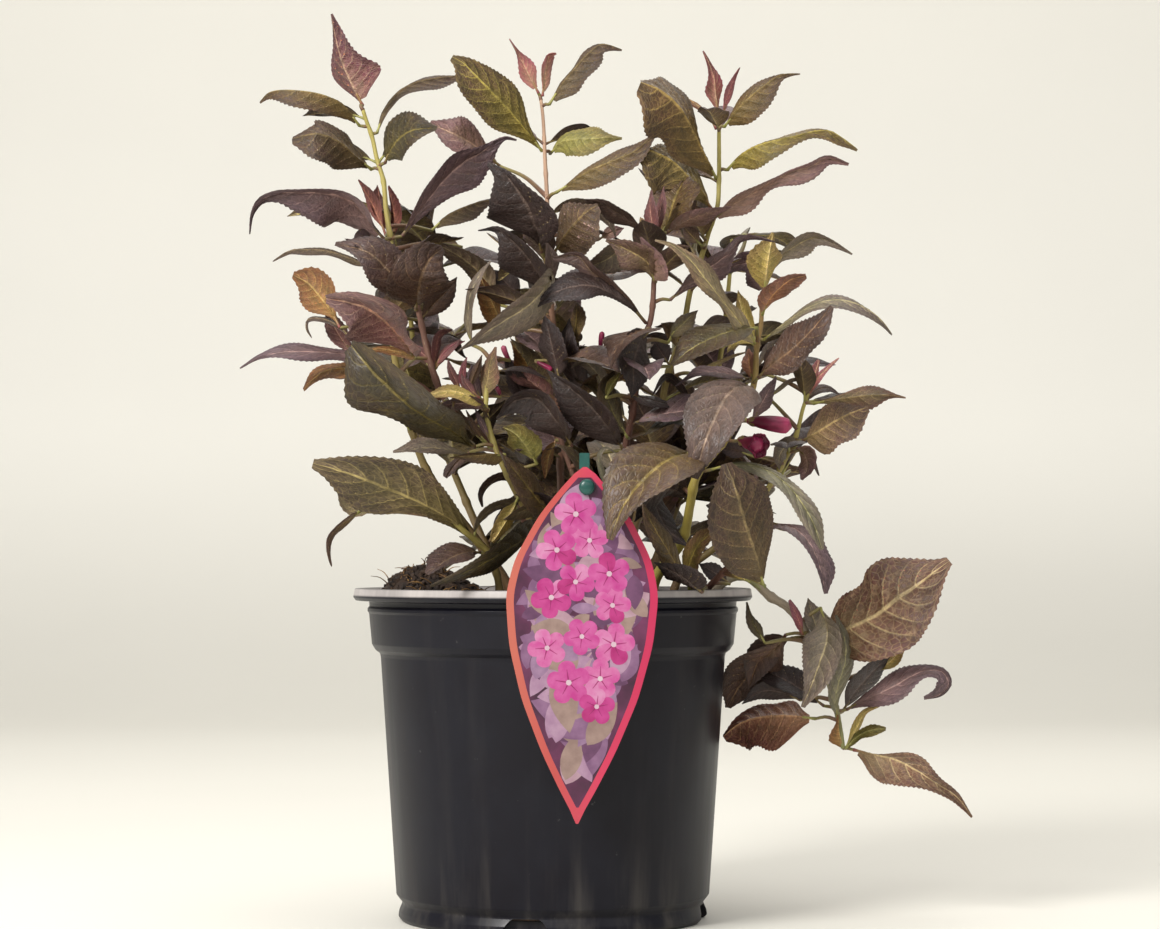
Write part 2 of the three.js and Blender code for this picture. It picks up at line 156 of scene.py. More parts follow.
# ------------------------------------------------------------------ mesh helpers
class Shell:
    """Collects vertices, faces and UVs (mm) of many small closed solids joined into one piece."""
    def __init__(self):
        self.v, self.f, self.uv, self.n, self.mi = [], [], [], 0, []
    def add(self, verts, faces, uvs=None, mat=0):
        verts = np.asarray(verts, float).reshape(-1, 3)
        faces = np.asarray(faces, int)
        self.v.append(verts)
        self.f.append(faces + self.n)
        self.uv.append(np.zeros(faces.shape + (2,)) if uvs is None else np.asarray(uvs, float))
        self.mi.append(np.full(len(faces), mat, int))
        self.n += len(verts)
    def count(self):
        return sum(len(f) * (f.shape[1] - 2) for f in self.f)
    def make(self, name, mats, uvname="OFBake", smooth=True, sharp=None):
        me = bpy.data.meshes.new(name)
        v = np.concatenate(self.v) * MM
        sizes = np.concatenate([np.full(len(f), f.shape[1], int) for f in self.f])
        loops = np.concatenate([f.ravel() for f in self.f])
        uv = np.concatenate([u.reshape(-1, 2) for u in self.uv])
        mi = np.concatenate(self.mi)
        me.vertices.add(len(v)); me.vertices.foreach_set("co", v.ravel())
        me.loops.add(len(loops)); me.loops.foreach_set("vertex_index", loops.astype(np.int32))
        me.polygons.add(len(sizes))
        me.polygons.foreach_set("loop_start", np.concatenate([[0], np.cumsum(sizes)[:-1]]).astype(np.int32))
        me.polygons.foreach_set("loop_total", sizes.astype(np.int32))
        me.polygons.foreach_set("material_index", mi.astype(np.int32))
        me.polygons.foreach_set("use_smooth", np.full(len(sizes), smooth))
        layer = me.uv_layers.new(name=uvname)
        layer.data.foreach_set("uv", uv.ravel())
        me.update(calc_edges=True)
        me.validate()
        if sharp is not None: me.set_sharp_from_angle(angle=math.radians(sharp))
        ob = bpy.data.objects.new(name, me)
        bpy.context.scene.collection.objects.link(ob)
        for m in mats: me.materials.append(m)
        return ob

def grid_faces(ni, nj, close=False):
    i, j = np.meshgrid(np.arange(ni - 1), np.arange(nj if close else nj - 1), indexing='ij')
    a = (i * nj + j).ravel(); b = (i * nj + (j + 1) % nj).ravel()
    c = ((i + 1) * nj + (j + 1) % nj).ravel(); d = ((i + 1) * nj + j).ravel()
    return np.stack([a, b, c, d], 1)

def unit(v):
    v = np.asarray(v, float)
    return v / np.maximum(np.linalg.norm(v, axis=-1, keepdims=True), 1e-9)

def smooth_path(pts, n):
    """Centripetal Catmull-Rom through pts, n samples evenly spaced by arc length."""
    p = np.asarray(pts, float)
    if len(p) == 2:
        p = np.array([p[0], p[0] * 0.5 + p[1] * 0.5, p[1]])
    ext = np.vstack([2 * p[0] - p[1], p, 2 * p[-1] - p[-2]])
    out = []
    for k in range(1, len(ext) - 2):
        p0, p1, p2, p3 = ext[k - 1:k + 3]
        t0 = 0.0
        t1 = t0 + max(np.linalg.norm(p1 - p0), 1e-6) ** 0.5
        t2 = t1 + max(np.linalg.norm(p2 - p1), 1e-6) ** 0.5
        t3 = t2 + max(np.linalg.norm(p3 - p2), 1e-6) ** 0.5
        t = np.linspace(t1, t2, 24, endpoint=False)[:, None]
        a1 = (t1 - t) / (t1 - t0) * p0 + (t - t0) / (t1 - t0) * p1
        a2 = (t2 - t) / (t2 - t1) * p1 + (t - t1) / (t2 - t1) * p2
        a3 = (t3 - t) / (t3 - t2) * p2 + (t - t2) / (t3 - t2) * p3
        b1 = (t2 - t) / (t2 - t0) * a1 + (t - t0) / (t2 - t0) * a2
        b2 = (t3 - t) / (t3 - t1) * a2 + (t - t1) / (t3 - t1) * a3
        out.append((t2 - t) / (t2 - t1) * b1 + (t - t1) / (t2 - t1) * b2)
    q = np.vstack(out + [p[-1:]])
    s = np.concatenate([[0], np.cumsum(np.linalg.norm(np.diff(q, axis=0), axis=1))])
    u = np.linspace(0, s[-1], n)
    return np.stack([np.interp(u, s, q[:, k]) for k in range(3)], 1), s[-1]

def transport(P, n_ref, at):
    """Normals along a path by parallel transport from index `at`, with the tangents."""
    T = unit(np.gradient(P, axis=0))
    N = np.zeros_like(P)
    n = n_ref - T[at] * (n_ref @ T[at])
    N[at] = unit(n)
    for rng_ in (range(at + 1, len(P)), range(at - 1, -1, -1)):
        prev = N[at]
        for i in rng_:
            prev = prev - T[i] * (prev @ T[i]); prev = unit(prev); N[i] = prev
    return T, N

def tube(path, radii, sides=10, u_range=(0.0, 1.0), v_range=(0.0, 1.0), relief=None, caps=True):
    """Tapered tube with rounded ends closed by small fans."""
    P = np.asarray(path, float); n = len(P)
    r = np.asarray(radii, float) if np.ndim(radii) else np.full(n, float(radii))
    T, N = transport(P, np.array([0.31, -0.9, 0.3]), n // 2)
    B = np.cross(T, N)
    a = np.linspace(0, 2 * math.pi, sides, endpoint=False)
    R = r[:, None] * (1 + (relief if relief is not None else 0.0))
    V = P[:, None] + R[..., None] * (np.cos(a)[None, :, None] * N[:, None] + np.sin(a)[None, :, None] * B[:, None])
    F = grid_faces(n, sides, close=True)
    vv = np.linspace(v_range[0], v_range[1], n); uu = np.linspace(u_range[0], u_range[1], sides + 1)
    i, j = np.meshgrid(np.arange(n - 1), np.arange(sides), indexing='ij')
    i, j = i.ravel(), j.ravel()
    UV = np.stack([np.stack([uu[j], vv[i]], 1), np.stack([uu[j + 1], vv[i]], 1), np.stack([uu[j + 1], vv[i + 1]], 1), np.stack([uu[j], vv[i + 1]], 1)], 1)
    verts = V.reshape(-1, 3)
    if not caps:
        return verts, F, UV, None, None
    tip0 = P[0] - T[0] * r[0] * 0.5; tip1 = P[-1] + T[-1] * r[-1] * 0.6
    m = len(verts)
    verts = np.vstack([verts, tip0, tip1])
    k = np.arange(sides)
    cap = np.vstack([np.stack([np.full(sides, m), (k + 1) % sides, k], 1),
                     np.stack([np.full(sides, m + 1), (n - 1) * sides + k, (n - 1) * sides + (k + 1) % sides], 1)])
    du = (uu[1] - uu[0])
    c0 = np.stack([np.stack([uu[k] + du / 2, np.full(sides, vv[0])], 1), np.stack([uu[k + 1], np.full(sides, vv[1])], 1), np.stack([uu[k], np.full(sides, vv[1])], 1)], 1)
    c1 = np.stack([np.stack([uu[k] + du / 2, np.full(sides, vv[-1])], 1), np.stack([uu[k], np.full(sides, vv[-2])], 1), np.stack([uu[k + 1], np.full(sides, vv[-2])], 1)], 1)
    return verts, F, UV, cap, np.vstack([c0, c1])

def add_tube(shell, path, radii, sides=10, mat=0, **kw):
    v, f, uv, cap, cuv = tube(path, radii, sides, **kw)
    base = shell.n
    shell.add(v, f, uv, mat)
    if cap is not None:
        shell.v.append(np.zeros((0, 3))); shell.f.append(cap + base); shell.uv.append(cuv); shell.mi.append(np.full(len(cap), mat, int))

# ------------------------------------------------------------------ leaf tints
# name: (top near midrib, top near margin, top vein, underside, underside margin, underside vein)
# Each tint is partly the leaf's own colour and partly painted light: 'black' and the 'shade' tints hold painted deep
# shade, 'grey' a painted pale sheen, and the 'yellow' and 'orange' tints painted light shining through the blade.
TINTS = {
    'black':      ('#382a27', '#271c1c', '#615149', '#5a4a3e', '#463333', '#a49165'),
    'dark':       ('#574038', '#3e2c2c', '#937960', '#6c553f', '#533b38', '#af9864'),
    'darkbrown':  ('#4c362d', '#382621', '#85694f', '#6f563e', '#563d38', '#b09564'),
    'darkolive':  ('#403928', '#312419', '#7e703d', '#6f5f40', '#594436', '#b3a362'),
    'purple':     ('#695151', '#4d3b41', '#aa8c85', '#53423a', '#423130', '#847050'),
    'brownpink':  ('#8e6e61', '#6f5153', '#ccaa92', '#57412f', '#453229', '#806942'),
    'pinkgrey':   ('#5e4a41', '#463631', '#8a7462', '#594b3c', '#473b32', '#897d55'),
    'redbig':     ('#855858', '#644649', '#e7bda5', '#583d2d', '#452e28', '#876c45'),
    'olive':      ('#9e8254', '#7d5d4d', '#e7e780', '#5b4621', '#402a21', '#836f43'),
    'yolive':     ('#907944', '#74533f', '#e0c769', '#645523', '#4c3726', '#9d8c42'),
    'olivebig':   ('#786a4b', '#5c473e', '#dbc779', '#63573b', '#4f4034', '#a5935e'),
    'olivegrey':  ('#8d7d62', '#6e5745', '#dcca8b', '#665e49', '#524443', '#a39671'),
    'yellow':     ('#8f783e', '#765834', '#c9a961', '#ad994d', '#917744', '#ddc382'),
    'ygreen':     ('#827139', '#675330', '#bda85e', '#767034', '#665728', '#9f9659'),
    'green':      ('#4b402d', '#3a291e', '#867a4b', '#686140', '#534635', '#a29a65'),
    'greygreen':  ('#6e6955', '#574d44', '#aca577', '#6d6655', '#5a5149', '#a39978'),
    'red':        ('#724544', '#5a373a', '#b38774', '#7f4840', '#67363a', '#c08066'),
    'crimson':    ('#974e58', '#753c4b', '#e2a793', '#8c5049', '#723941', '#c98e74'),
    'pink':       ('#c18771', '#a66164', '#e7cea0', '#985c56', '#7e3d4c', '#c3a181'),
    'pinkred':    ('#a65960', '#854650', '#dfa38b', '#cb7a7f', '#a4546a', '#e7d399'),
    'brown':      ('#715847', '#5b423f', '#bda776', '#4b3923', '#3c2820', '#786542'),
    'browno':     ('#574129', '#422e26', '#947f47', '#5c4722', '#49321e', '#927943'),
    'olivered':   ('#684d37', '#5d3632', '#b08b58', '#6e5d3e', '#5d3a35', '#a68f61'),
    'brownred':   ('#92614a', '#754d46', '#e5b07a', '#875945', '#6e3f39', '#c8996e'),
    'orange':     ('#a15c33', '#854429', '#de9855', '#80592e', '#6c3f23', '#ac8c53'),
    'young':      ('#a36147', '#8c3c41', '#e7a96f', '#64353b', '#462030', '#a78870'),
    'bigred':     ('#8d4c3d', '#713937', '#dc9372', '#664735', '#54342d', '#b39c72'),
    'olivedark':  ('#6a5633', '#50392f', '#bb9f59', '#64542c', '#4e3b26', '#a28b4d'),
    'grey':       ('#796d5e', '#605149', '#b6a680', '#6a5847', '#55443d', '#9f8c65'),
    'shade':      ('#483532', '#35282b', '#7c6657', '#493a29', '#3a2a25', '#7e6b44'),
    'shadeolive': ('#544a37', '#403329', '#928456', '#54482e', '#433428', '#89784a'),
    'shadered':   ('#5f3d39', '#492d2e', '#9b715f', '#4a3326', '#3a2522', '#765c3c'),
}
FAMILIES = {
    'dark':   ['black', 'dark', 'darkbrown', 'darkolive'],
    'purple': ['purple', 'brownpink', 'pinkgrey', 'redbig'],
    'olive':  ['olive', 'yolive', 'olivebig', 'olivegrey'],
    'green':  ['yellow', 'ygreen', 'green', 'greygreen'],
    'red':    ['red', 'crimson', 'pink', 'pinkred'],
    'brown':  ['brown', 'browno', 'olivered', 'brownred'],
    'tan':    ['orange', 'young', 'bigred', 'olivedark'],
    'rear':   ['grey', 'shade', 'shadeolive', 'shadered'],
}
FAMILY = {t: (f, i) for f, ts in FAMILIES.items() for i, t in enumerate(ts)}
VEINS = 8.0          # side veins on each half of a leaf
VEIN_RISE = 0.22     # how far a side vein climbs towards the tip on its way to the margin

def leaf_material(family):
    """Upper faces sit in the top half of the leaf's own map, undersides in the lower half; four tints side by side."""
    k = Nodes("leaf_" + family)
    uv = k.new("UVMap", uv_map="OFBake").outputs[0]
    sep = k.new("SeparateXYZ"); k.plug(uv, sep.inputs[0])
    u, v = sep.outputs[0], sep.outputs[1]
    lu = k.math('FRACT', k.math('MULTIPLY', u, 4.0))
    lv = k.math('FRACT', k.math('MULTIPLY', v, 2.0))
    top = k.math('GREATER_THAN', v, 0.5)
    side = k.math('MULTIPLY', k.math('SUBTRACT', lu, 0.5), 2.12)
    au = k.math('ABSOLUTE', side)
    rise = k.math('MULTIPLY', k.math('POWER', au, 1.3), VEIN_RISE)
    wob = k.noise(k.combine(k.math('MULTIPLY', u, 9.0), k.math('MULTIPLY', v, 5.0)), 2.0, 2.0)
    p = k.math('MULTIPLY', k.math('ADD', k.math('SUBTRACT', k.math('DIVIDE', k.math('SUBTRACT', lv, 0.02), 0.96), rise), k.math('MULTIPLY', k.math('SUBTRACT', wob, 0.5), 0.035)), VEINS)
    fr = k.math('FRACT', p)
    d = k.math('MINIMUM', fr, k.math('SUBTRACT', 1.0, fr))
    vein = k.math('MULTIPLY', k.smooth(d, 0.015, 0.085, 1.0, 0.0), k.smooth(au, 0.45, 0.95, 1.0, 0.1))
    mid = k.smooth(au, 0.022, 0.065, 1.0, 0.0)
    cell = k.combine(k.math('MULTIPLY', u, 44.0), k.math('MULTIPLY', v, 34.0))
    vor = k.new("TexVoronoi", feature='DISTANCE_TO_EDGE'); k.plug(cell, vor.inputs["Vector"]); vor.inputs["Scale"].default_value = 1.6
    net = k.smooth(vor.outputs[0], 0.02, 0.16, 1.0, 0.0)
    blot = k.noise(k.combine(k.math('MULTIPLY', u, 17.0), k.math('MULTIPLY', v, 7.0)), 1.0, 3.0, 0.6)
    fine = k.noise(cell, 2.2, 3.0, 0.6)
    patch = k.noise(k.combine(k.math('MULTIPLY', u, 31.0), k.math('MULTIPLY', v, 23.0)), 1.0, 4.0, 0.65)
    names = FAMILIES[family]
    col = [k.ramp(u, [(0.25 * i, TINTS[t][n]) for i, t in enumerate(names)], 'CONSTANT') for n in range(6)]
    def skin(mid_c, edge_c, vein_c, veiny):
        reach = k.math('ADD', k.math('MULTIPLY', au, 0.65), k.math('MULTIPLY', k.math('SUBTRACT', blot, 0.5), 1.5))
        reach = k.math('ADD', reach, k.math('MULTIPLY', k.math('SUBTRACT', lv, 0.42), 1.15))
        base = k.mix(k.smooth(reach, 0.05, 0.85), mid_c, edge_c)
        base = k.mix(k.math('MULTIPLY', k.smooth(reach, 0.25, -0.45), 0.5), base, vein_c)
        base = k.mix(k.math('MULTIPLY', k.smooth(patch, 0.42, 0.85), 0.22), base, vein_c)
        base = k.mix(k.math('MULTIPLY', net, 0.21 * veiny), base, vein_c)
        base = k.mix(k.math('MULTIPLY', vein, 0.62 * veiny), base, vein_c)
        return k.mix(k.math('MULTIPLY', mid, 0.95), base, vein_c)
    color = k.mix(top, skin(col[3], col[4], col[5], 1.0), skin(col[0], col[1], col[2], 0.5))
    shade = k.math('MULTIPLY', k.line(fine, 0.25, 0.75, 0.64, 1.34), k.line(blot, 0.3, 0.7, 0.54, 1.40))
    # painted shade and highlight along the side veins: each band between two veins is drawn lighter just past one vein
    # and darker towards the next, like a lit emboss
    shade = k.math('MULTIPLY', shade, k.line(fr, 0.0, 1.0, 1.16, 0.84))
    hsv = k.new("HueSaturation"); k.plug(color, hsv.inputs["Color"]); k.plug(shade, hsv.inputs["Value"])
    rough_t = k.line(patch, 0.3, 0.7, 0.39, 0.51)
    rough_b = k.line(patch, 0.3, 0.7, 0.46, 0.62)
    mixr = k.new("Mix", data_type='FLOAT'); k.plug(top, mixr.inputs[0]); k.plug(rough_b, mixr.inputs[2]); k.plug(rough_t, mixr.inputs[3])
    height = k.math('SUBTRACT', k.math('MULTIPLY', fine, 0.5), k.math('MULTIPLY', net, 0.8))
    height = k.math('SUBTRACT', height, k.math('MULTIPLY', vein, 0.8))
    nrm = k.bump(height, 0.5, 0.0004)
    return k.done(hsv.outputs[0], mixr.outputs[0], nrm, Specular_IOR_Level=0.42)

HALF = {'fine': np.array([0, 0.055, 0.16, 0.33, 0.50, 0.67, 0.83, 0.935, 1.0]), 'plain': np.array([0, 0.12, 0.42, 0.74, 1.0])}

def blade_frame(t, left, right, half_width, top):
    """Upper-face normal and keel angle of a blade running along t, from how wide its two halves look from the front."""
    w = max(half_width, abs(left), abs(right)) * 1.001
    see = np.array([0.0, -1.0, 0.0]); see = unit(see - t * (see @ t))
    right_dir = unit(np.cross(t, see))
    al, ar = math.acos(left / w), math.acos(right / w)
    near = 1.0 if top else -1.0                     # the narrower half of a keeled blade comes nearer when its top shows
    if max(al, ar) < 0.45: sl = sr = near
    elif al > ar: sl, sr = near, -near
    else: sl, sr = -near, near
    dr = right_dir * math.cos(ar) + see * math.sin(ar) * sr
    dl = -right_dir * math.cos(al) + see * math.sin(al) * sl
    plus, minus = (dr, dl) if top else (dl, dr)
    b = unit(plus - minus)
    n = np.cross(b, t)
    return n, math.asin(float(np.clip(plus @ n, -0.9, 0.9)))

def leaf_solid(points, width, normal, petiole, seed, grade='fine', keel=0.3, wave=None, turn=16, at=0.42, curl=1.0, look=None, peak=None, sides=None):
    """One leaf blade: a thin closed solid, toothed at the margin, keeled, with sunken veins above and raised ones below."""
    r = np.random.default_rng(seed)
    path, length = smooth_path(points, 240)
    k0 = int(min(0.6, petiole / max(length, 1e-6)) * 239)
    stalk, blade = path[:k0 + 1], path[k0:]
    L = length * (1 - k0 / 239.0)
    half = HALF[grade]
    n = (int(np.clip(round(L / 1.12), 16, 60)) // 2 * 2) if grade == 'fine' else 22
    s = np.linspace(0, 1, n + 1)
    P = np.stack([np.interp(s, np.linspace(0, 1, len(blade)), blade[:, k]) for k in range(3)], 1)
    T, N = transport(P, normal, int(round(n * at)))
    if look is not None:                            # keep the two halves as wide as they look from the front, all along the blade
        M = np.array([blade_frame(t, *look)[0] for t in T])
        k = np.clip((1 - T[:, 1] ** 2 - 0.06) / 0.3, 0, 1)[:, None]
        M = N * (1 - k) + M * k
        M = np.stack([np.convolve(np.pad(M[:, c], 3, 'edge'), np.ones(7) / 7, 'valid') for c in range(3)], 1)
        N = unit(M - T * (M * T).sum(1)[:, None])
    twist = np.radians((s - at) * r.uniform(-turn, turn))
    B = np.cross(T, N)
    N = N * np.cos(twist)[:, None] + B * np.sin(twist)[:, None]
    B = np.cross(T, N)
    a, b = r.uniform(0.85, 1.0), r.uniform(1.05, 1.2)
    peak = r.uniform(0.40, 0.48) if peak is None else peak
    f = np.where(s < peak, np.sin(math.pi / 2 * np.minimum(s / peak, 1)) ** a, np.cos(math.pi / 2 * (s - peak) / (1 - peak)).clip(0) ** b)
    f = f * (1 - 0.35 * np.clip((s - 0.84) / 0.16, 0, 1))
    halves = [f, f]
    if sides is not None:                           # the two outlines, as shares of the full half width at fifths of the blade
        halves = [np.convolve(np.pad(np.interp(s, np.linspace(0, 1, 6), [0, *q, 0]), 2 + n // 12, 'edge'), np.ones(5 + 2 * (n // 12)) / (5 + 2 * (n // 12)), 'valid') for q in sides]
    hm, hp = (width / 2 * q + 0.22 for q in halves)
    hw = (hm + hp) / 2
    u = np.concatenate([-half[:0:-1], half]); m = len(half) - 1
    lat = np.where(u[None] > 0, hp[:, None], hm[:, None]) * u[None]
    along = np.zeros_like(lat)
    big = np.minimum(1.0, hw / 7.0)
    if grade == 'fine':
        tooth = np.where(np.arange(n + 1) % 2 == 0, 1.0, -0.35) * (0.34 + 0.16 * r.random(n + 1)) * big
        tooth2 = np.where(np.arange(n + 1) % 2 == 1, 1.0, -0.35) * (0.34 + 0.16 * r.random(n + 1)) * big
        lat[:, 0] -= tooth; lat[:, -1] += tooth2
        along[:, 0] += np.maximum(tooth, 0) * 0.9; along[:, -1] += np.maximum(tooth2, 0) * 0.9
    wave = width * r.uniform(0.02, 0.05) * curl if wave is None else wave
    au = np.abs(u)[None]; S = s[:, None]
    z = math.sin(keel) * np.abs(lat) - 0.14 * curl * np.abs(lat) * au ** 2 * r.uniform(0.3, 1.3)
    for side in (-1, 1):
        k = (u * side > 0)[None]
        z = z + k * wave * au ** 1.6 * np.sin(2 * math.pi * (S * r.uniform(1.3, 2.3) + r.random())) * big[:, None]
    z = z + wave * 0.8 * np.sin(2 * math.pi * (S * r.uniform(0.8, 1.6) + r.random())) * 0.5
    ph = (S - VEIN_RISE * au ** 1.3) * VEINS
    quilt = np.abs(np.sin(math.pi * ph)) ** 0.7
    ends = np.clip(S / 0.06, 0, 1) * np.clip((1 - S) / 0.12, 0, 1)
    amp = min(1.5, width * 0.046)
    z = z + amp * (quilt - 0.5) * np.clip(au / 0.16, 0, 1) * (1 - au ** 5) * ends
    groove = np.exp(-(au / 0.075) ** 2) * ends
    thick = (0.30 + 0.22 * np.exp(-(au / 0.2) ** 2)) * np.ones_like(z)
    thick[:, 0] = thick[:, -1] = 0.0; thick[0] = thick[-1] = 0.0
    zt = z + thick / 2 - 0.38 * groove
    veinb = np.exp(-(np.minimum(ph % 1, 1 - ph % 1) / 0.11) ** 2) * np.clip(au / 0.1, 0, 1) * (1 - au ** 3)
    zb = z - thick / 2 - ends * (0.42 * np.exp(-(au / 0.07) ** 2) + 0.16 * veinb) * (thick > 0)
    cosf = math.cos(keel)
    X = P[:, None] + B[:, None] * (lat * cosf)[..., None] + T[:, None] * along[..., None]
    top = X + N[:, None] * zt[..., None]
    bot = X + N[:, None] * zb[..., None]
    nj = len(u)
    idx_top = np.arange((n + 1) * nj).reshape(n + 1, nj)
    idx_bot = idx_top.copy()
    inner = np.zeros((n + 1, nj), bool); inner[1:-1, 1:-1] = True
    idx_bot[inner] = (n + 1) * nj + np.arange(inner.sum())
    verts = np.vstack([top.reshape(-1, 3), bot[inner]])
    def quads(I):
        return np.stack([I[:-1, :-1], I[:-1, 1:], I[1:, 1:], I[1:, :-1]], -1).reshape(-1, 4)
    qt = quads(idx_top); qb = quads(idx_bot)[:, ::-1]
    U = 0.5 + 0.47 * np.broadcast_to(u[None], (n + 1, nj)); Vv = 0.02 + 0.96 * np.broadcast_to(S, (n + 1, nj))
    def cells(row, rev):
        A = np.stack([U, (Vv + row) / 2], -1)
        q = np.stack([A[:-1, :-1], A[:-1, 1:], A[1:, 1:], A[1:, :-1]], 2).reshape(-1, 4, 2)
        return q[:, ::-1] if rev else q
    return verts, np.vstack([qt, qb]), cells(1, False), cells(0, True), stalk, P, N

# ------------------------------------------------------------------ limbs
# Each limb: way points in mm from the root ball to its tip, foot and tip radius, bark, CAD node it stands for.
LIMBS = {
    'left_tall':    ("-16,22,140 -22,20,158 -35.3,14,177.3 -55.4,0,204.9 -63.3,-4,220.1 -75,-8,265.1 -77.2,-12,293.4 -75.9,-18,315.6 -78.9,-16,335.7 -80.6,-12,350.5 -83.7,-9,360.4 -86.3,-6,371.8 -89.1,-7,379.8 -90.5,-8,384.4", 2.5, 0.9, 'green'),
    'left_front':   ("-8,-14,140 -9,-16,162 -15.3,-24,198.3 -25.9,-32,221.5 -36,-35,230.8 -50,-36,244.7 -55.6,-36,257.8 -58.5,-34,268.2 -61.4,-33,281.3 -63.3,-32,289.4", 2.3, 1.3, 'brown'),
    'inner':        ("8,-26,140 5,-28,160.8 -10.3,-38,188.8 -24.1,-44,216.5 -28.8,-43,230.4 -30.8,-40,240.8 -29.9,-38,253.9 -28,-40,262.2", 1.9, 0.9, 'green'),
    'centre':       ("4,12,140 4.2,10,160.4 3.4,-4,222.5 1.6,-24,268.7 -1.5,-34,295.9 -2.6,-26,311.6 -2.8,-8,329.5 -2.9,-1,342 -4,12,363.1 -5.1,21,385.3 -6.1,22,393.7", 2.2, 0.8, 'tan'),
    'middle_front': ("16,-36,140 15.5,-38,160.9 13,-46,197.9 6.4,-48,218.7 3.7,-48,227", 1.8, 1.0, 'brown'),
    'right_tall':   ("28,20,140 32.2,20,159.4 49.2,18,223.2 54.9,14,257.8 62.1,13,278.6 66,12,299.3 70.8,11,313.7 75.5,8,329.8 78.8,6,339.2 79.8,8,353 80,11,372.7 80,10,381", 2.4, 0.9, 'green'),
    'centre_right': ("26,-6,140 27,-8,159.7 29.5,-14,189.1 34,-24,221.8 37.8,-32,240.2 39.1,-36,254 39.1,-40,266.8 45.4,-41,280.6 47.3,-40,300.2 48,-32,319.8 47.5,-32,328.3", 2.3, 1.0, 'brown'),
    'right':        ("46,-12,140 48,-16,159.7 60.4,-38,179.5 63.6,-52,195.6 66.4,-59,208.7 82.1,-47,228.6 93.3,-38,250.1 96,-26,271 98.2,-20,280.9 99.1,-14,295", 2.9, 1.0, 'yellow'),
    'far_right':    ("56,14,140 60,12,160.4 80,6,178 98.9,0,199 110.4,-7,218 115.3,-11,229 118.6,-12,242.1 121.1,-10,248.9", 2.3, 0.8, 'green'),
    'low_left':     ("-24,-34,140 -25,-38,160 -28.4,-45,172.1 -33.9,-49,178 -39.8,-54,183 -47,-58,190", 2.0, 1.2, 'green'),
    'front_corner': ("60,-34,140 70,-42,155 80,-51,166 91,-62,180", 1.9, 1.1, 'brown'),
    'hanging':      ("66,-24,140 78,-18,158 90,-10,163 100,-6,156.6", 2.6, 2.3, 'old'),
    'over_rim':     ("95.5,-7.6,160.6 102.4,-5.5,153.4 111.9,-3,147.3 121.1,-1,134.8 127.9,1,122.8 132.8,3,108 135.7,4,97 138.5,4,80.3", 2.25, 1.1, 'old'),
    'left_side':    ("-52.6,-37.4,245.2 -66,-43,254 -80,-47,260", 1.3, 0.9, 'brown'),
    'back_left':    ("-22,42,140 -26,44,158 -44,54,200 -66,58,256 -72,52,300 -74,46,336", 2.4, 0.9, 'green'),
    'back':         ("8,46,140 7,50,160 6,66,200 8,74,258 8,76,282", 2.4, 0.9, 'brown'),
    'back_right':   ("42,38,140 46,41,158 62,56,200 80,60,256 86,52,300 88,46,328", 2.4, 0.9, 'green'),
}
BARK = {   # foot, middle, tip, streak
    'green':  ('#5e4330', '#7d6c3a', '#a89c52', '#5c402b'),
    'yellow': ('#a89c4e', '#99883f', '#8a6c42', '#6e5a30'),
    'tan':    ('#573a2c', '#7a5644', '#b39278', '#4c3328'),
    'brown':  ('#5c3a2c', '#5e3c30', '#6a4a3c', '#3f2a22'),
    'old':    ('#8a7c6a', '#9a8d78', '#7f8050', '#5a4a3c'),
}
def bark_material(kind):
    k = Nodes("bark_" + kind)
    uv = k.new("UVMap", uv_map="OFBake").outputs[0]
    sep = k.new("SeparateXYZ"); k.plug(uv, sep.inputs[0])
    u, v = sep.outputs[0], sep.outputs[1]
    foot, mid, tip, streak = BARK[kind]
    g = k.noise(k.combine(k.math('MULTIPLY', u, 5.0), k.math('MULTIPLY', v, 9.0)), 1.0, 3.0, 0.6)
    base = k.ramp(k.math('ADD', v, k.math('MULTIPLY', k.math('SUBTRACT', g, 0.5), 0.35)), [(0.0, foot), (0.45, mid), (1.0, tip)])
    fib = k.noise(k.combine(k.math('MULTIPLY', u, 26.0), k.math('MULTIPLY', v, 7.0)), 1.0, 4.0, 0.65)
    base = k.mix(k.smooth(fib, 0.52, 0.72, 0.0, 0.75), base, streak)
    spot = k.noise(k.combine(k.math('MULTIPLY', u, 12.0), k.math('MULTIPLY', v, 60.0)), 1.0, 2.0)
    base = k.mix(k.smooth(spot, 0.64, 0.72, 0.0, 0.45), base, '#a89a78')
    rough = k.line(fib, 0.3, 0.7, 0.5, 0.72) if kind in ('green', 'yellow', 'tan') else k.line(fib, 0.3, 0.7, 0.62, 0.86)
    return k.done(base, rough, k.bump(fib, 0.5, 0.0002))
bark = {kind: bark_material(kind) for kind in BARK}

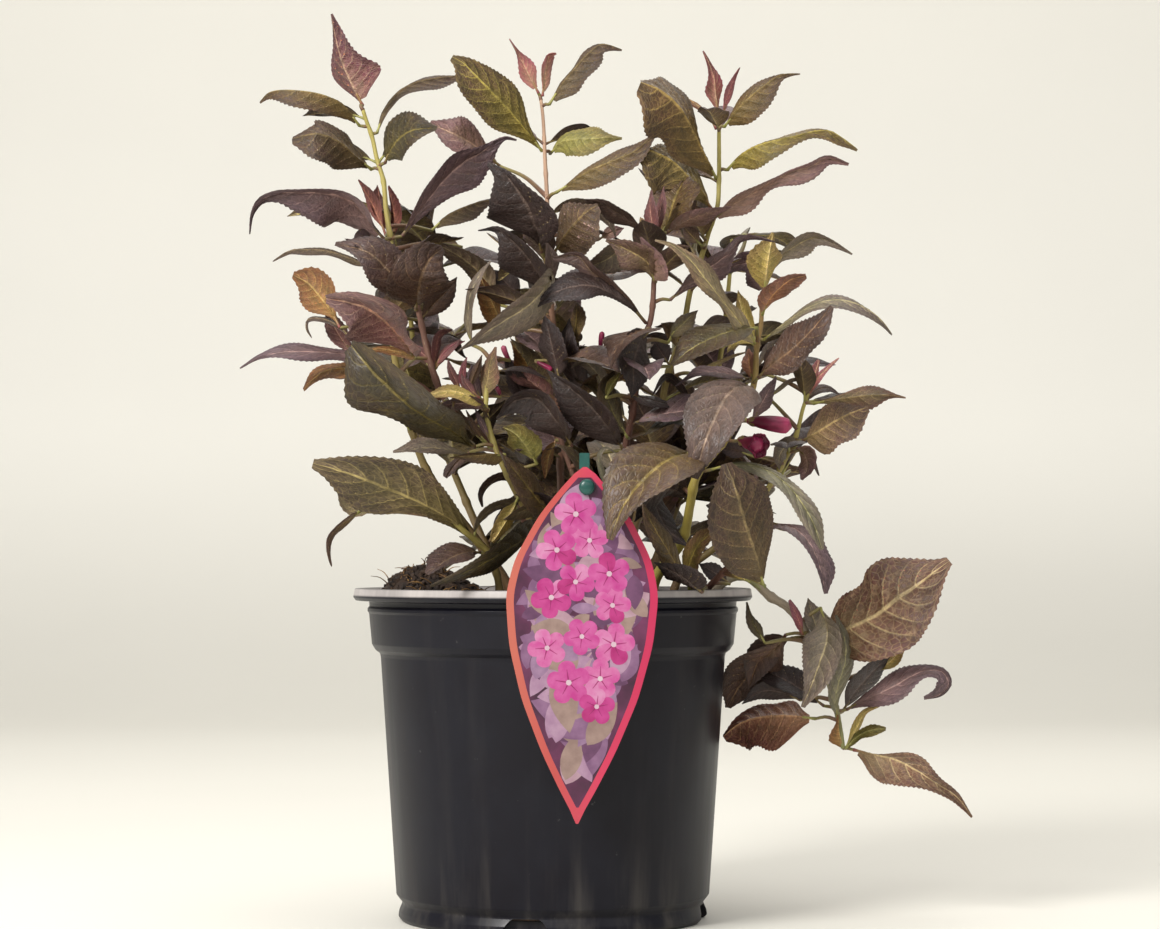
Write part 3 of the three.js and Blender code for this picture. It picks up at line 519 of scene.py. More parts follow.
limb_path = {}
def limb(name):
    text, r0, r1, kind = LIMBS[name]
    way = np.array([[float(c) for c in q.split(',')] for q in text.split()])
    P, L = smooth_path(way, max(24, int(np.linalg.norm(np.diff(way, axis=0), axis=1).sum() / 1.6)))
    limb_path[name] = P
    n = len(P); s = np.linspace(0, 1, n); sides = 16
    r = np.random.default_rng(abs(sum(map(ord, name))))
    rad = r0 + (r1 - r0) * s ** 0.85
    step = r.uniform(20, 26); at = r.uniform(8, 16)
    while at < L - 6:                         # joints where leaf pairs sit or sat
        d = s * L - at
        rad = rad * (1 + 0.24 * np.exp(-(d / 1.7) ** 2)) + 0.0
        at += step * r.uniform(0.8, 1.2)
    ang = np.linspace(0, 2 * math.pi, sides, endpoint=False)
    relief = np.zeros((n, sides))
    for q in range(3, 8):
        relief += (0.05 / q ** 0.5) * np.sin(q * ang[None] + r.uniform(0, 6.3) + 1.6 * np.sin(s[:, None] * L / r.uniform(14, 40) + r.uniform(0, 6)))
    relief += 0.018 * r.standard_normal((n, sides))
    if kind == 'old': relief *= 1.7
    sh = Shell()
    add_tube(sh, P, rad, sides, relief=relief)
    ob = sh.make('limb_' + name, [bark[kind]], sharp=75)
    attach(ob, "root"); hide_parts('stem_' + name)
for name in LIMBS: limb(name)
limb_points = np.vstack([p[len(p) // 8:] for p in limb_path.values()])

# ------------------------------------------------------------------ leaves
# Leaves on the front of the plant, by region.
# tint, face that shows (T top, U underside), half width, how wide the left and right half look, stalk length,
# where along the blade it is widest (0.44 if left out) : midrib way points (mm).
# Four values with strokes are the widths at the fifths of a blade whose outline is uneven.
SEEN = """
[left_top]
young U 21.3 6/5.9/3.3/0.3 20.5/10.9/6.4/3.6 3 : -90.8,-6,386.8 -95.2,-7.5,395.3 -98.9,-9.6,404.2 -102.5,-12.2,415.7 -105.4,-14,429.3
olive U 9.3 6.4/8.2/8.9/3.5 1.2/0.6/1.2/1.2 3 : -92.3,-6,377.2 -99,-14.9,384.9 -107.1,-20.8,388.9 -119.7,-23.7,390.8 -132.9,-20.3,390.8 -139.1,-15,387.1
brown U 14.9 5.3/13/12.3/14.4 6.9/4/6.7/6.7 3 : -86.3,-10,355.8 -93,-21.2,360.3 -100.2,-31.9,365.8 -109.8,-38.9,368.6 -121.7,-36,366.7
brown U 7.7 1.5/1.2/0.6/3.1 2.3/2.6/5.9/6.6 3 : -84,-5,373.9 -80.8,3.7,385.5 -74.6,9.9,395.2 -66.2,16.3,401.2 -56.6,22.3,404.3 -44.6,28,406.4
darkolive T 11.7 8/11.2/10.3/4.7 7/9.8/9.8/4.7 3 : -79.7,-12,358.6 -76.4,-19.6,364.2 -71.7,-27.2,368.4 -64.6,-36.7,370.8 -53.5,-44,370.7
[left_upper]
brownpink T 12.1 3.9/7.3/9.2/5.8 3.9/7.3/11.6/7.7 3 : -26.5,40,363.8 -32.7,34,368.5 -39.8,27.3,373 -47.8,20,376.4 -55.1,18.8,379.6 -59.9,18,381.9
purple T 17.7 16.2/17/10.1/0.3 1/0.3/0.4/0.3 3 : -79.7,-20,321.7 -86.2,-26.7,329.1 -92.1,-33.9,336.3 -99,-39.7,339.8 -107.1,-44.7,340.8 -117.3,-48.2,340.6 -126.6,-49.5,339.7 -134.1,-47.9,336.7 -138.5,-46.2,330.6 -140.1,-46,321.1
red U 6.1 2.2/3.2/2.5/0.3 2.5/3.5/3.1/2.1 6 : -79.6,-5,324.6 -83.7,-0.9,335.1 -87.6,0,343.3 -93.4,0,352
red U 7.5 1.5/2/1.9/1 3/4.9/2.5/2.2 5 : -76.6,0,321.7 -76,5.7,332.4 -76.6,7.5,340.8 -79.7,10,350.3
red U 8.4 4.8 2.9 5 : -77.7,2,323.4 -81.4,7.2,334.5 -84,10,343.5 -85.1,12,351
brown U 7.3 3.1/1.3/3.6/2 1.4/1.1/2.3/0.3 3 : -81.2,-20,309.9 -90.1,-15.8,310.3 -99.1,-11.1,314 -108.1,-7,316.8 -119.3,-3,317.7 -126.1,-0.1,317.5 -134.4,2,313.3
purple T 16.6 2.9/2.5/4.4/0.3 3.9/8.1/15.9/3.3 3 : -71.1,-20,322.8 -65.3,-18,331.6 -59,-15.4,340.6 -50.5,-14,351.5 -41.8,-15.4,358.9 -33.1,-18.6,363.3 -26.6,-20,368 -22.3,-19.6,369.9 -17,-18,368.8
[left_inner]
dark T 11.4 3.8/9.1/9.9/2.9 6.9/10.4/11/6.3 3 : -62.6,-30,286.6 -68.6,-38.6,294.7 -76.2,-47,304.4 -85.1,-51.7,312 -100.2,-50,316
darkbrown T 16.2 8.2/13.7/13.7/7.3 8.2/13.7/15.5/9.1 3 : -63.6,-35,287.7 -61.7,-52.5,294.1 -59.4,-61.5,301.2 -55.8,-60.6,308.1 -50.2,-54,313.9
[left_upper]
grey U 11.1 5.4/3.8/3.7/2.8 4.4/6.1/5.1/1.4 4 : -25.6,10,292.8 -32.8,7.2,305.6 -40.7,1.2,312.7 -49.1,-3.9,318 -57.6,-6,322.5
[left_outer]
orange U 10.2 2.3/8.8/9.1/6.2 1.5/9.8/9.4/8 3 : -100.3,-20,279.7 -104.6,-17.6,287.6 -110.1,-15.5,294.9 -116.2,-13.7,301.5 -123.3,-12,305.3
purple U 5 1/1.3/1.6/0.5 1.1/1.4/1.5/0.3 4 : -94.4,-22,274.6 -105.3,-15.6,282.6 -111.2,-14.1,284.2 -116.1,-12.1,283.4 -116.5,-12,280.1 -114.2,-12,275.3
redbig T 19.8 7.8/15.7/19/13.4 3.6/1.9/4.6/4.8 3 : -63.8,-40,264 -69.7,-58,272.9 -76.7,-74,280.2 -84.7,-88.2,284.2 -93.6,-89.5,286.3 -101,-88,287.6
darkolive T 26.8 5.1/9.5/5.9/25.8 1.8/7.1/10.3/9 3 : -35.7,-45,222.5 -44.1,-64.8,228.4 -53.6,-81.1,232.8 -63,-94.8,238.9 -71.3,-103.7,246.8 -79.9,-107.7,255.5 -88.5,-104,265.7
orange U 4.6 2.2 2.2 0 : -62.1,-70,262.1 -70.4,-84,263.9 -79.1,-88,264.5 -84.8,-90,261.3
purple T 7.2 3.6/2.6/5.4/0.3 2.4/1.7/5.5/2.5 3 : -78.4,-30,261.4 -94.9,-42.5,265.3 -111.2,-55.5,265.9 -124.6,-59.5,265.3 -135,-58.2,262.5 -143.3,-56,258.1
orange U 10.3 3/3/6/1.8 2.5/2.9/2.1/5.2 6 : -71.4,-28,250.7 -85,-35.5,256.8 -96.3,-40.1,258.9 -104.5,-42,257.9 -110,-41.9,254.2 -115.3,-40,248.7
[left_low]
grey T 9.4 0.9/1/3.5/0.6 1.1/2.9/6.2/4.6 3 : -35.8,-40,218 -45.8,-52.3,220.3 -55.7,-59.8,221.5 -64.7,-63.5,220.5 -72.4,-64,219.3
olivebig U 17.4 4.7/3.8/14.3/12.7 5.4/12/16.7/10.5 3 : -36.2,-45,178.9 -44.3,-58.7,187.4 -52.9,-70.1,193 -63.5,-83.6,198.4 -74.1,-94.3,202.7 -84.7,-102.1,207 -95.4,-106.6,210.7 -105,-108,213.2
brown T 5.9 2.4/1.4/1.1/1 1.3/0.3/0.5/0.7 3 : -88.6,-48,192.7 -93.7,-56.3,188.6 -98.7,-65.1,183.9 -100.9,-72.7,178.2 -100.6,-76,172.6 -99.5,-74,167.4
[front_low]
grey T 8.1 2.1/1.5/0.7/1.3 1.3/2.7/2/1.2 3 : -35.9,-50,180.4 -34.1,-50,187.7 -28.7,-46.4,193.3 -20.5,-42.4,196.6 -10.3,-38.2,198.1 -2,-35,198.1
dark T 5.9 1.8/2.9/1.4/0.4 1.2/1.8/1.3/2.5 3 : -0.3,-15,199.4 -11.6,-20,206.9 -22.3,-24.1,209.6 -29.3,-26,206.2 -33,-26,200.6 -32.6,-26,195
dark T 10.2 1.6/4.1/4/2.1 5.4/7.2/7.7/6.9 3 : -32.9,-40,173.7 -39,-47.7,173.7 -45.6,-56,171.4 -52.2,-61.7,167.4 -56.8,-64,163.8
darkolive T 12.6 2.8/5.6/5/2.8 5/5.6/3.9/1.7 3 : -4.4,-45,185.2 -18.8,-73.3,176 -29.7,-87.3,169.2 -40.6,-94.4,163.7 -53.7,-98,158.7
yellow U 6.1 2.8/2.8/2.5/1.9 2.3/5.2/2.4/4.9 3 : -15.7,-48,198.8 -20.6,-54,189.5 -27.4,-58,178.5
grey T 6.8 4.1 1.8 3 : 1.4,-50,194.2 -11,-54,193.7 -22.4,-56,188.6
dark T 5.4 5.2/0.3/3.1/1.1 1.4/2.1/1.2/5 2 : -38.9,-20,221 -45.4,-22,215.7 -50.1,-22,208.7
olive U 7.6 7.3/2.9/3.6/0.3 1.5/1.8/2/0.8 2 : -21.6,-52,218.6 -32.8,-62,217.8 -46.3,-66,216.7
[left_inner]
olivered U 6.5 3/4.3/2.9/2.2 2.9/5.5/4.4/1.8 3 : -32.3,-36,242.8 -29.8,-40,253.8 -28.4,-42,262 -26.1,-42,269
yellow U 7.2 3.7 3.2 3 : -31,-48,241.3 -37.6,-56.9,245 -45.6,-62.5,247 -52.8,-65.6,245.9 -59.6,-66,244.1
red T 5.7 1.6/1.6/1/1.3 0.9/2.5/2.1/0.3 2 : -55.4,-30,258.1 -54.4,-32,268.3 -53,-32,274.8 -47,-30,277.8
red T 4.6 2.3 2.3 2 : -55.3,-32,259.9 -50.1,-34,267.2 -42.7,-32,273.4
red T 3.4 1.9 1.9 2 : -56.4,-30,259.1 -59.2,-30,265.1 -65.8,-28,271.4
purple T 6.1 3.2 2.8 2 : -29.7,-44,239.7 -37.8,-52,242 -46.8,-56,241.8 -53.2,-56,240
[centre_top]
yolive U 13.3 5.2/12.8/11.7/11.8 3.4/10.9/10.1/6.8 3 : -5.4,15,367.8 -11,10.1,374.3 -18.5,3.9,382.8 -28.2,-2.3,392.3 -36.8,-6.6,400.9 -43.2,-8,407.2 -48.1,-8,409.9
brown U 11.4 1.4/1.1/3.6/0.3 11/6.9/9.5/4 3 : -2.1,22,391.5 4.4,21.1,401.5 11.7,19.2,409.8 17.8,17.8,416.2 23.2,16.4,419.7 33.3,16,417.5
pink U 6.6 5.1/3.7/0.9/0.3 2.9/6.3/1.5/0.3 3 : -7.3,22,397.1 -11.2,22,404.8 -15.1,21,412.4 -18.4,19.3,418.3 -21.4,18,423
pink T 5.4 0.9/1.8/2.1/0.3 3.5/2.5/3.1/2 3 : -5.3,22,395.7 -4.4,24.9,405.3 -3,26,413.3 -1.8,24.1,416.3 1.2,22,416.7
ygreen U 10.3 4.1/6.8/7.2/3.2 7.8/7.5/9.9/2.2 3 : -1.7,20,367.2 4.4,13.9,371.9 11.7,7.2,372.4 21.3,1.5,372 33,0,371.8
[centre_upper]
olive U 10.8 1.9/3.7/4.5/3.9 6.9/10.4/8.9/5.3 3 : 1.6,-5,345.4 9.3,-8.2,349.8 18.8,-12.9,355.1 29.5,-16.5,359.4 38.9,-19,363.2 48.3,-20,370.8
black T 23.5 4.5/22.6/18/8.4 4.4/11.2/5/1.2 3 : -4.9,-35,313.8 -7.4,-46.4,323.2 -11,-54.7,333.3 -16.1,-59.9,340.6 -22.3,-63.2,347.5 -29.1,-62,352.3
[centre_middle]
black T 13.9 8.3/13.3/12.2/0.4 3.1/3.6/2.6/0.8 3 : -2.2,-40,294.2 -6.8,-50.8,302.7 -13,-58.2,311.5 -20.2,-62,318.4 -25.4,-61.1,321.6 -33.9,-58,321.4
pinkgrey T 6.5 2.3/2.5/3.2/2.3 3.3/1.2/4.7/1.9 2 : -3.3,-50,293.4 -0.5,-52.9,301.5 0,-54,309.2 -2.3,-54,316.2
[centre_upper]
brownpink U 16.2 6.8/9.6/10.2/2.9 13.4/13.5/13.4/15.6 3 : 0.7,-30,313.9 5,-36,319.9 10.1,-41.4,325.9 15.2,-44.6,331.1 21.2,-46,334.6
grey T 9.1 1.9 3.3 4 : -2.9,-2,333.5 4.3,-6.8,337.7 13.9,-10.5,338.3 22.4,-12,335.2 27.6,-11.6,329.6 30,-10,323.1
[centre_middle]
dark T 7.7 2/3.7/1.9/7.4 1.1/0.9/2.7/1.1 5 : 43.5,-42,280.2 36,-50,288.8 27.6,-56,296.1 18.4,-60,302.2 12,-62,309.4 0.5,-60,308.7
black T 12 0.9/1.7/8.7/3.6 2.5/9.1/9.1/2.2 6 : 43.5,-42,280.2 35.9,-52.2,287.2 27.6,-58.7,292.2 18.4,-64,295.4 9.3,-67.7,294.6 -0.7,-70,290.8 -9.8,-70,284
grey T 11.4 9 3.6 5 : 0.9,-45,306.4 -2.2,-63,296 -10.6,-76,285.7 -20.8,-84.8,278.3 -31,-90,271.1 -42.2,-90,263.5
orange U 9.9 6.5 3.7 3 : -22.9,-20,277.6 -27,-26.1,287 -31.1,-29.4,295.7 -34.9,-30,305
grey T 5.7 2.9/1/3.3/1.8 1.9/1.7/2.7/1.2 3 : -37.7,-30,270.8 -39.3,-36,281.1 -38.3,-38,292.6 -33.7,-38,302.9 -28.6,-38,309.4
[right_top]
pink U 7.1 5.9/4.5/1.4/0.3 2.6/5.5/1.1/1.6 3 : 79.5,10,385.6 78,9.3,395.5 76.7,7.2,403.6 74,5.3,410.5 71.9,4,414.6
pinkred T 5 1.2/1.7/1.4/0.6 1.4/2.7/1.3/0.5 3 : 81.7,10,384.1 83.6,12,392.2 86,12,398.9 88.4,11.6,404.9 90.1,10,407.7
olive U 10.8 3.2/3.5/4.2/0.3 10.4/10/9.3/1.6 3 : 82.5,10,378.9 88.5,1.6,385.8 95.4,-3.2,392.3 102.4,-6,397.3 108.3,-7.4,400.7 117.8,-8,401.8
orange U 8.9 2.5/3.6/3.4/1.5 1.3/0.8/0.5/2.1 3 : 78.7,12,378.3 75.3,17.2,385.1 70.1,22.8,390.8 64.1,26,395.3
browno U 30.4 7.9/16.6/12.8/29.2 1.8/8.3/6.8/8.9 3 : 78.5,8,353.6 72.5,-5.5,363.2 66.2,-17,373.6 59.4,-25.5,383 50.4,-30.6,389.9 41.2,-32,393.8
yolive U 13.3 0.3/2.7/3.1/0.4 12.8/8.2/0.3/6.5 3 : 83.9,8,357.8 89.6,1.5,363.6 97.6,-5.1,367.5 106.9,-9.6,369.5 116.3,-11.3,371.4 124.5,-12.4,373.4 131.6,-13,373.3 138.1,-13,369.6 144.8,-13,364.9
olivedark U 20.3 5.7/6.9/19.5/18.4 6/7.8/8/3.4 3 : 75.9,4,338.6 70.2,-3.9,346.7 63.5,-8.9,353.2 56.8,-12.1,359.4 48.4,-15.9,363.1 40.1,-16,365.4
brownpink T 10.6 2.7/1.1/0.3/1.7 10.2/0.3/8.6/4.2 3 : 76.5,5,333.3 84.8,2.7,339.7 94.3,-0.1,344.7 103.7,-3.1,350.4 113,-5.9,355.1 122.4,-7.9,357.5 130.7,-9,361 140.8,-9,358.4
[right_inner]
red T 6.1 2.5/3.9/2.2/0.3 2.3/3/2.6/1.5 2 : 48,-32,319.8 46.5,-35,328 45.6,-36,335.8 46,-36,342.8
red T 5.3 2.3 2.3 2 : 48.5,-30,320 49.5,-30,328.5 50.9,-30,336.5 52.3,-30,345.4
olive T 3.8 1.9 1.9 2 : 45.7,-28,320.2 42.9,-28,325.4 41.1,-26,331.3
browno T 19.4 8/5.2/18.7/1.5 6.8/8.7/9.2/4.1 3 : 50.6,-22,321.8 54,-18.8,329.7 57.9,-15.2,340.6 61.4,-10.8,349.2 64.3,-8,352.9
brownpink T 11.8 1.2/1.6/1.4/0.7 3.5/5.2/3.5/1.4 3 : 53.8,-32,323.4 61.7,-40.4,327.7 70.8,-45.9,330.6 82.8,-50,333.6
brown T 12.8 4.8/5.5/12.3/2.1 3.1/4.7/3.7/2.1 2 : 47.7,-44,299.5 44.3,-51.9,307.1 36.8,-57.1,311.7 30.3,-58,314.8 24.8,-58,317.1
brown T 11.4 5.5 6 2 : 47.7,-44,299.5 52.2,-49.5,306 57.6,-53.8,311.1 63.6,-54,314.8
brownpink T 13.7 6.8/4.4/4.9/2 2.6/4.4/3.7/2 2 : 47.7,-44,299.5 46.5,-54,307.4 43.2,-59.2,314.2 40.9,-60,318.3
pinkgrey T 9.2 2.9/5.2/5.2/2.3 0.3/1/1.5/0.9 3 : 45.1,-30,322.2 37.4,-34.8,328.3 29.2,-38.3,332.6 22.2,-40,335.9 15,-40,337.9
[right_middle]
grey T 10.4 3.8/8.2/10/1.9 2.6/3.8/3.8/2.2 2 : 41.2,-20,318.7 32.8,-13.5,317 24.8,-11.2,312.5 15.3,-8,309
[right_upper]
olivegrey T 8.8 6.6/0.9/5.5/2.8 5.7/0.8/7.9/1.8 5 : 96,-25,270.6 88.2,-40.6,279.3 78.2,-55,289.8 69.6,-64.4,299.1 63,-70,306.8 54.7,-72,313.4 47,-72,315.7
[right_middle]
purple T 11.8 2.3/2.2/2.5/0.4 3.6/10.4/0.4/1.3 3 : 54.8,-38,291.2 64,-40.2,299.2 73.1,-46.6,305.6 82.1,-52.1,312 86.6,-54,317.5 93.5,-53.9,318.9 102.8,-52,316.9
darkbrown T 15.2 4.1 5.9 3 : 45.3,-46,277.5 38.6,-58.3,273.9 32.5,-65.6,270.1 28.4,-68,264.5 27,-68,256.8
black T 13.7 10.1 6.4 3 : 45.4,-42,276.9 40.6,-48.1,270.9 37.8,-52.4,261.4 37.3,-54,252.1 36.4,-54,244.7
green T 13.3 3.7/6.3/6/5.4 3.7/7.3/9.2/6.4 3 : 95.5,-35,278.4 84.6,-45.9,276.6 73.6,-54.9,272.3 63.3,-59.6,266.4 55,-60,259.5
green T 9.1 4.2 4.2 3 : 54.2,-25,272.1 57.9,-28,277.9 62.6,-28,282.2 68.2,-28,287.3
[right_upper]
yellow U 14.2 7/8.1/13.7/1.5 5.3/6.9/6.8/2.7 3 : 100.5,-15,296.7 100.5,-21.1,306.8 101.7,-24,314.8 103.7,-24,324.2
brownred T 9.5 3.2/4.5/4/2.1 3.3/5.3/4.1/6.6 4 : 98.8,-18,285.3 101.2,-26.4,291.7 105.9,-33.2,296.8 111.7,-36.8,301.1 118.1,-38,302.9
grey T 8.7 1.8/3/1.4/0.3 3.8/8.4/2.8/2.3 3 : 104.4,0,307.6 108.6,0,314.8 115.7,-0.8,320.1 123.9,-3,324 131,-4,322.7 137,-4,319.8 142.9,-4,316
purple T 10.6 9.1/4.7/2.4/2.2 3.2/6/3.2/2.9 4 : 101.8,6,296.8 98.7,10.5,307.3 94,13.1,312.9 87.8,14,312 79.1,14,306.7
yellow U 8.4 3.3 3.8 4 : 97,-8,272.8 93.6,-2.4,282.2 90.5,2,290.7 88.7,4,299.5
[right_outer]
olivegrey U 7.8 0.7/2.2/3.3/0.3 2.3/1.3/4.5/4 3 : 99.3,-25,273.7 109.3,-42.3,280.5 118.8,-51.1,286.4 127.4,-55.6,289.2 135.3,-57.4,288.9 144.2,-58,285.3 151.2,-57.2,279.9 156.3,-56,273.8
darkbrown T 12.6 4.8/10.4/8.5/3.2 5.2/9.2/5/7.7 3 : 95.7,-42,254.8 100.8,-49.2,259.9 108.3,-57.5,265.4 115.7,-64.4,271.9 122.4,-68.5,279.5 127.2,-70,285.8
brownred T 6.8 2.2/2.3/5.8/0.8 2.3/2.8/2.8/1.3 3 : 94.9,-28,252.1 92.7,-26,260.2 91.9,-24,269.3
yellow U 7.6 3.8 1.9 3 : 97,-8,271.8 91.6,-4,274.5 86,0,272.8 83.2,0,269
olive T 3.8 1.1/0.3/0.4/0.6 1.2/1.4/1.4/0.4 0 : 68.5,-8,258.5 80.4,-8,265.1 92.3,-8,268.9
purple T 7.5 1.6/2.5/2.1/1 4.1/3.1/3.9/0.3 3 : 93,-20,255.4 80.9,-27.2,257.8 66.6,-33.4,257 57.2,-36,251.2
pinkgrey T 16.2 10.2/13.6/12.2/7 3.9/12.7/15.6/8.8 3 : 92.3,-48,249.9 84.8,-66.7,249.4 78.8,-78.6,243.8 74,-87.1,235.1 69.4,-92,224.7 66.2,-91.4,214.5 64.4,-90,206.7
[front_right]
browno T 19.2 7.1/11.9/10.1/4.8 5.3/14.4/18.4/11.5 3 : 64,-64,219.5 54.1,-90,216 44.8,-104.4,209.3 35.8,-110,199.9 30.1,-112.1,190.2 26.5,-113,179.2
black T 12.2 6.9 6.9 3 : 64.9,-40,198 55.2,-52,202.4 45.8,-60,198.6 37.6,-62,187.6
[front_corner]
greygreen T 6.2 0.8/1.3/2.5/5.6 2.8/4.5/3.3/5.6 3 : 73.3,-58,211.7 81.8,-66.3,213.9 91.3,-73.3,213.2 99.9,-77.9,209.5 107.4,-81.6,203 113.1,-84.3,195.1 117.8,-85.9,186.3 121.5,-86,175.1
purple T 10.7 0.3/6.5/6.5/8.6 4.3/4.4/2/1.8 3 : 101.2,-40,187.2 110.4,-53.3,185.1 116.3,-60.5,179.6 119.9,-65.3,172.7 122.7,-67.5,163.8 124.3,-68,154.9
brown U 18.6 11.6/16.9/17.9/14.5 6.8/11.8/14.5/14 3 : 96.1,-66,159.3 92.8,-79.6,169.7 89.3,-89.5,179.5 85.1,-96.2,191.1 82.1,-99,200.7 77.8,-98,213.3
olive T 8.4 3.6 4.1 3 : 89.2,-60,161.1 85.5,-70,172.1 81.2,-74,181.6 75.8,-74,191.1
yellow U 4.9 2.3 2.7 2 : 90.7,-58,160.2 86.4,-62,163.4 82.2,-64,169.8
[far_right]
pinkred U 4.1 0.3/3.1/2.9/2.4 1.7/2.9/2/1.7 4 : 119.2,-10,244.1 123,-10,256 126.3,-10,265
pinkred U 3.4 1.2/1.8/1.6/1.3 1.2/2.4/0.3/0.3 4 : 119.2,-10,244.1 124.6,-8,254.7 130.3,-8,260.4 136,-8,266.1
olivered U 9.3 1.6/3.7/6/2.1 2.1/2.8/8.9/0.3 3 : 123.5,-12,244.2 131.4,-18.6,245.4 139.2,-23.1,246.2 148,-27,247 156.1,-28,247.1 165.5,-28,246.1
darkbrown U 14.1 8.1/9.1/7.8/3.9 13.6/9.1/12.1/10.7 3 : 118.4,-14,226.6 124.9,-22.2,230.3 131.7,-27,234.7 138.6,-29.3,238.2 147.7,-30,241.5
dark T 4.9 1.8/2.6/2.3/0.7 1.9/2.6/2.2/1.2 2 : 120.3,-8,245.2 125.8,-4,251.1 131.2,-2,252.1 136.5,-2,249.3
brownpink T 9.8 3.1/4/4.2/0.3 4.6/6.2/5.3/3.2 2 : 115.7,-12,223.1 119.2,-15.8,219.2 120.4,-17.8,214 117.6,-18,207.8
dark T 3 1/1.6/0.5/0.9 1.1/1.5/1.5/0.3 2 : 117.4,-8,222.3 122.9,-10,218 126.2,-10,209.9
grey T 7.6 3.8 3.8 2 : 115.8,-10,225.1 111.3,-14,225 107.3,-16,219.7 106.9,-16,212.6
purple T 6.6 2.2/3/2.7/1.3 3.5/5.2/3.5/2.4 2 : 93.3,-30,234.7 97,-32,242.1 100.7,-32,248.6 104.6,-30,255.8
grey T 3.4 1/1.2/1/0.5 1.9/0.3/0.3/0.8 2 : 102.4,-5,247.7 110,-5,252.9 115.3,-5,255.8 120.5,-5,255.3
[hanging_upper]
grey T 12.2 3.1/5.1/7.3/6.1 9.7/11.7/8.1/3.1 3 : 127.4,-2,147.3 129.9,-11.3,138.5 128.6,-21,130.6 125.1,-26.7,122.6 121.2,-30.1,112.6 116.5,-32,101.6
greygreen T 10 2.6/4.6/4.6/2.6 4.6/6.2/4.6/3.1 3 : 135.8,4,95 134,-4.6,103.2 135.1,-10.1,111.7 137.8,-14.6,122.2 137.7,-15.9,132.4 133.8,-14,144.2
bigred U 23.8 15.2/13.7/20.9/12.4 15.8/20.2/22.9/11.6 3 : 126.8,2,130.9 139.1,-12.5,137.5 152.6,-21.4,144.8 161.3,-26.2,152.1 170.2,-28.5,158.2 178.2,-30,164.3 185.5,-30,169.7
[hanging_lower]
purple T 10.8 3.6/8/1.7/1.7 4.2/7.5/0.7/7.2 3 : 140.4,4,98.7 147.1,-2.1,103.1 154.9,-6.9,107 162.8,-10.5,111.2 169.8,-12.7,115.4 176.8,-14,118 184,-14,117 186.6,-14,111.9 183,-14,106.8 175.3,-14,104.4
[hanging_upper]
black T 11.4 5.8 6.7 3 : 138.8,12,97.1 145.3,10,107.2 152.8,8,116.4 162.4,8,125
yellow U 4.7 1.8/2.8/2.4/1.3 2.2/3.1/2.6/2.2 1 : 156.1,12,117.2 162.9,12,121.5 168.6,12,127.8
[hanging_lower]
brownred U 18.8 14.7/18.1/11.2/16.2 7.6/3.5/5.4/2.6 3 : 125.7,8,94.1 116.9,8.7,95.1 107.7,11.9,95.3 98.1,17.5,93.8 90,23.3,90.5 82.4,28,84.2
darkbrown T 14.1 7.8/13.1/13.6/8.9 7.3/10.5/9.9/6.3 3 : 111,-2,134.6 104.1,3.1,125.7 96.2,11.3,117 89.3,19.2,108.3 84.4,26,98.6
black T 10.6 4.9/4.1/5.5/3.7 4.4/9.6/6.2/3.7 4 : 129.8,8,100.2 119.1,6,107.9 108.7,8,114 97.1,14,118.1
[hanging_upper]
crimson T 3.8 1.9/2.2/2.1/1.3 1.4/2.9/1.7/2.3 1 : 118.9,-4,134.9 116.3,-8.1,142.2 111.9,-10,151.2
[hanging_lower]
green T 4 2.3/3.2/2.9/1.5 2.1/3.8/0.4/0.3 1 : 100.7,-6,130.7 95,-6,140.7 92.2,-6,150.2
orange U 7.6 4.8/7.3/0.6/0.7 1.6/2.1/2.1/1.1 1 : 138.5,4,80.3 136,2,88.6 135.8,0,96.3
ygreen U 4.9 2/1.6/1.9/2.5 2.1/1/2.3/2.8 2 : 139.5,4,79.9 145.3,-0,85.8 150.6,-4,88.9 158,-6,90
yellow U 4 0.6/3.8/1/0.7 1.5/2.2/1/2 2 : 139.5,4,79.9 145,2,90.9 148.7,0,98.2 155.6,-2,101.1
bigred U 14.8 0.4/7.8/2.8/2.3 14.2/11.2/4.2/3 3 : 143.5,4,79.5 153.4,-1.1,77.3 162.2,-5.6,75.5 171.1,-8.6,71.1 181.1,-11.2,64.6 190.2,-12,58.5 197.9,-12,48.8
[centre_low]
black T 14.1 13.5 2.7 4 : 33.1,-56,220.7 20.6,-72,237 8.8,-80,247.9 -2,-80,256.5
black T 12.2 11.8 3.2 4 : 9.2,-56,222.6 2.4,-68,233.5 -6.6,-73,243.3 -16.6,-73,242.4 -25.3,-70,234.3
orange U 11.4 5.7 5.7 2 : -11,2,252.4 -12.9,2,262.9 -15.8,2,270.6 -20.6,2,274.9
black T 4.6 1.4 1.4 1 : -25.6,-24,258.9 -15.2,-28,260.1 -2.1,-30,254.8
ygreen U 9.1 6 6.9 3 : -7,-42,214.7 -11.1,-48,221.9 -17,-52,228.7 -22.5,-52,231.4
grey T 7.6 3.3 2.8 2 : 25.6,-24,246.7 21.8,-30,256.2 13.8,-34,263 8.7,-34,259.7
green T 9.1 4.6 5.6 2 : 34.8,-36,227.4 27.7,-42,239.8 24.9,-44,250.8 29.6,-44,258.7
ygreen U 3.4 1.8 1.8 1 : 24.9,-46,245.1 27.2,-48,251 31.4,-48,257
[right_middle]
black T 7.6 2.8 2.8 2 : 35.3,-34,247.1 45.5,-38,244.6 58,-38,241.3
black T 4.6 1.4 1.4 1 : 65.9,-14,243 59.6,-18,252.2 53.4,-20,256.4 46.8,-20,247.4
darkolive T 6.8 2.3 2.8 2 : 69.8,-34,232.7 54.8,-38,235.3 42.2,-40,227.8
[centre_low]
orange U 4.9 2.3 2.8 1 : 1.7,-34,226.1 -2,-36,218.6 -3.4,-36,207.9
[front_low]
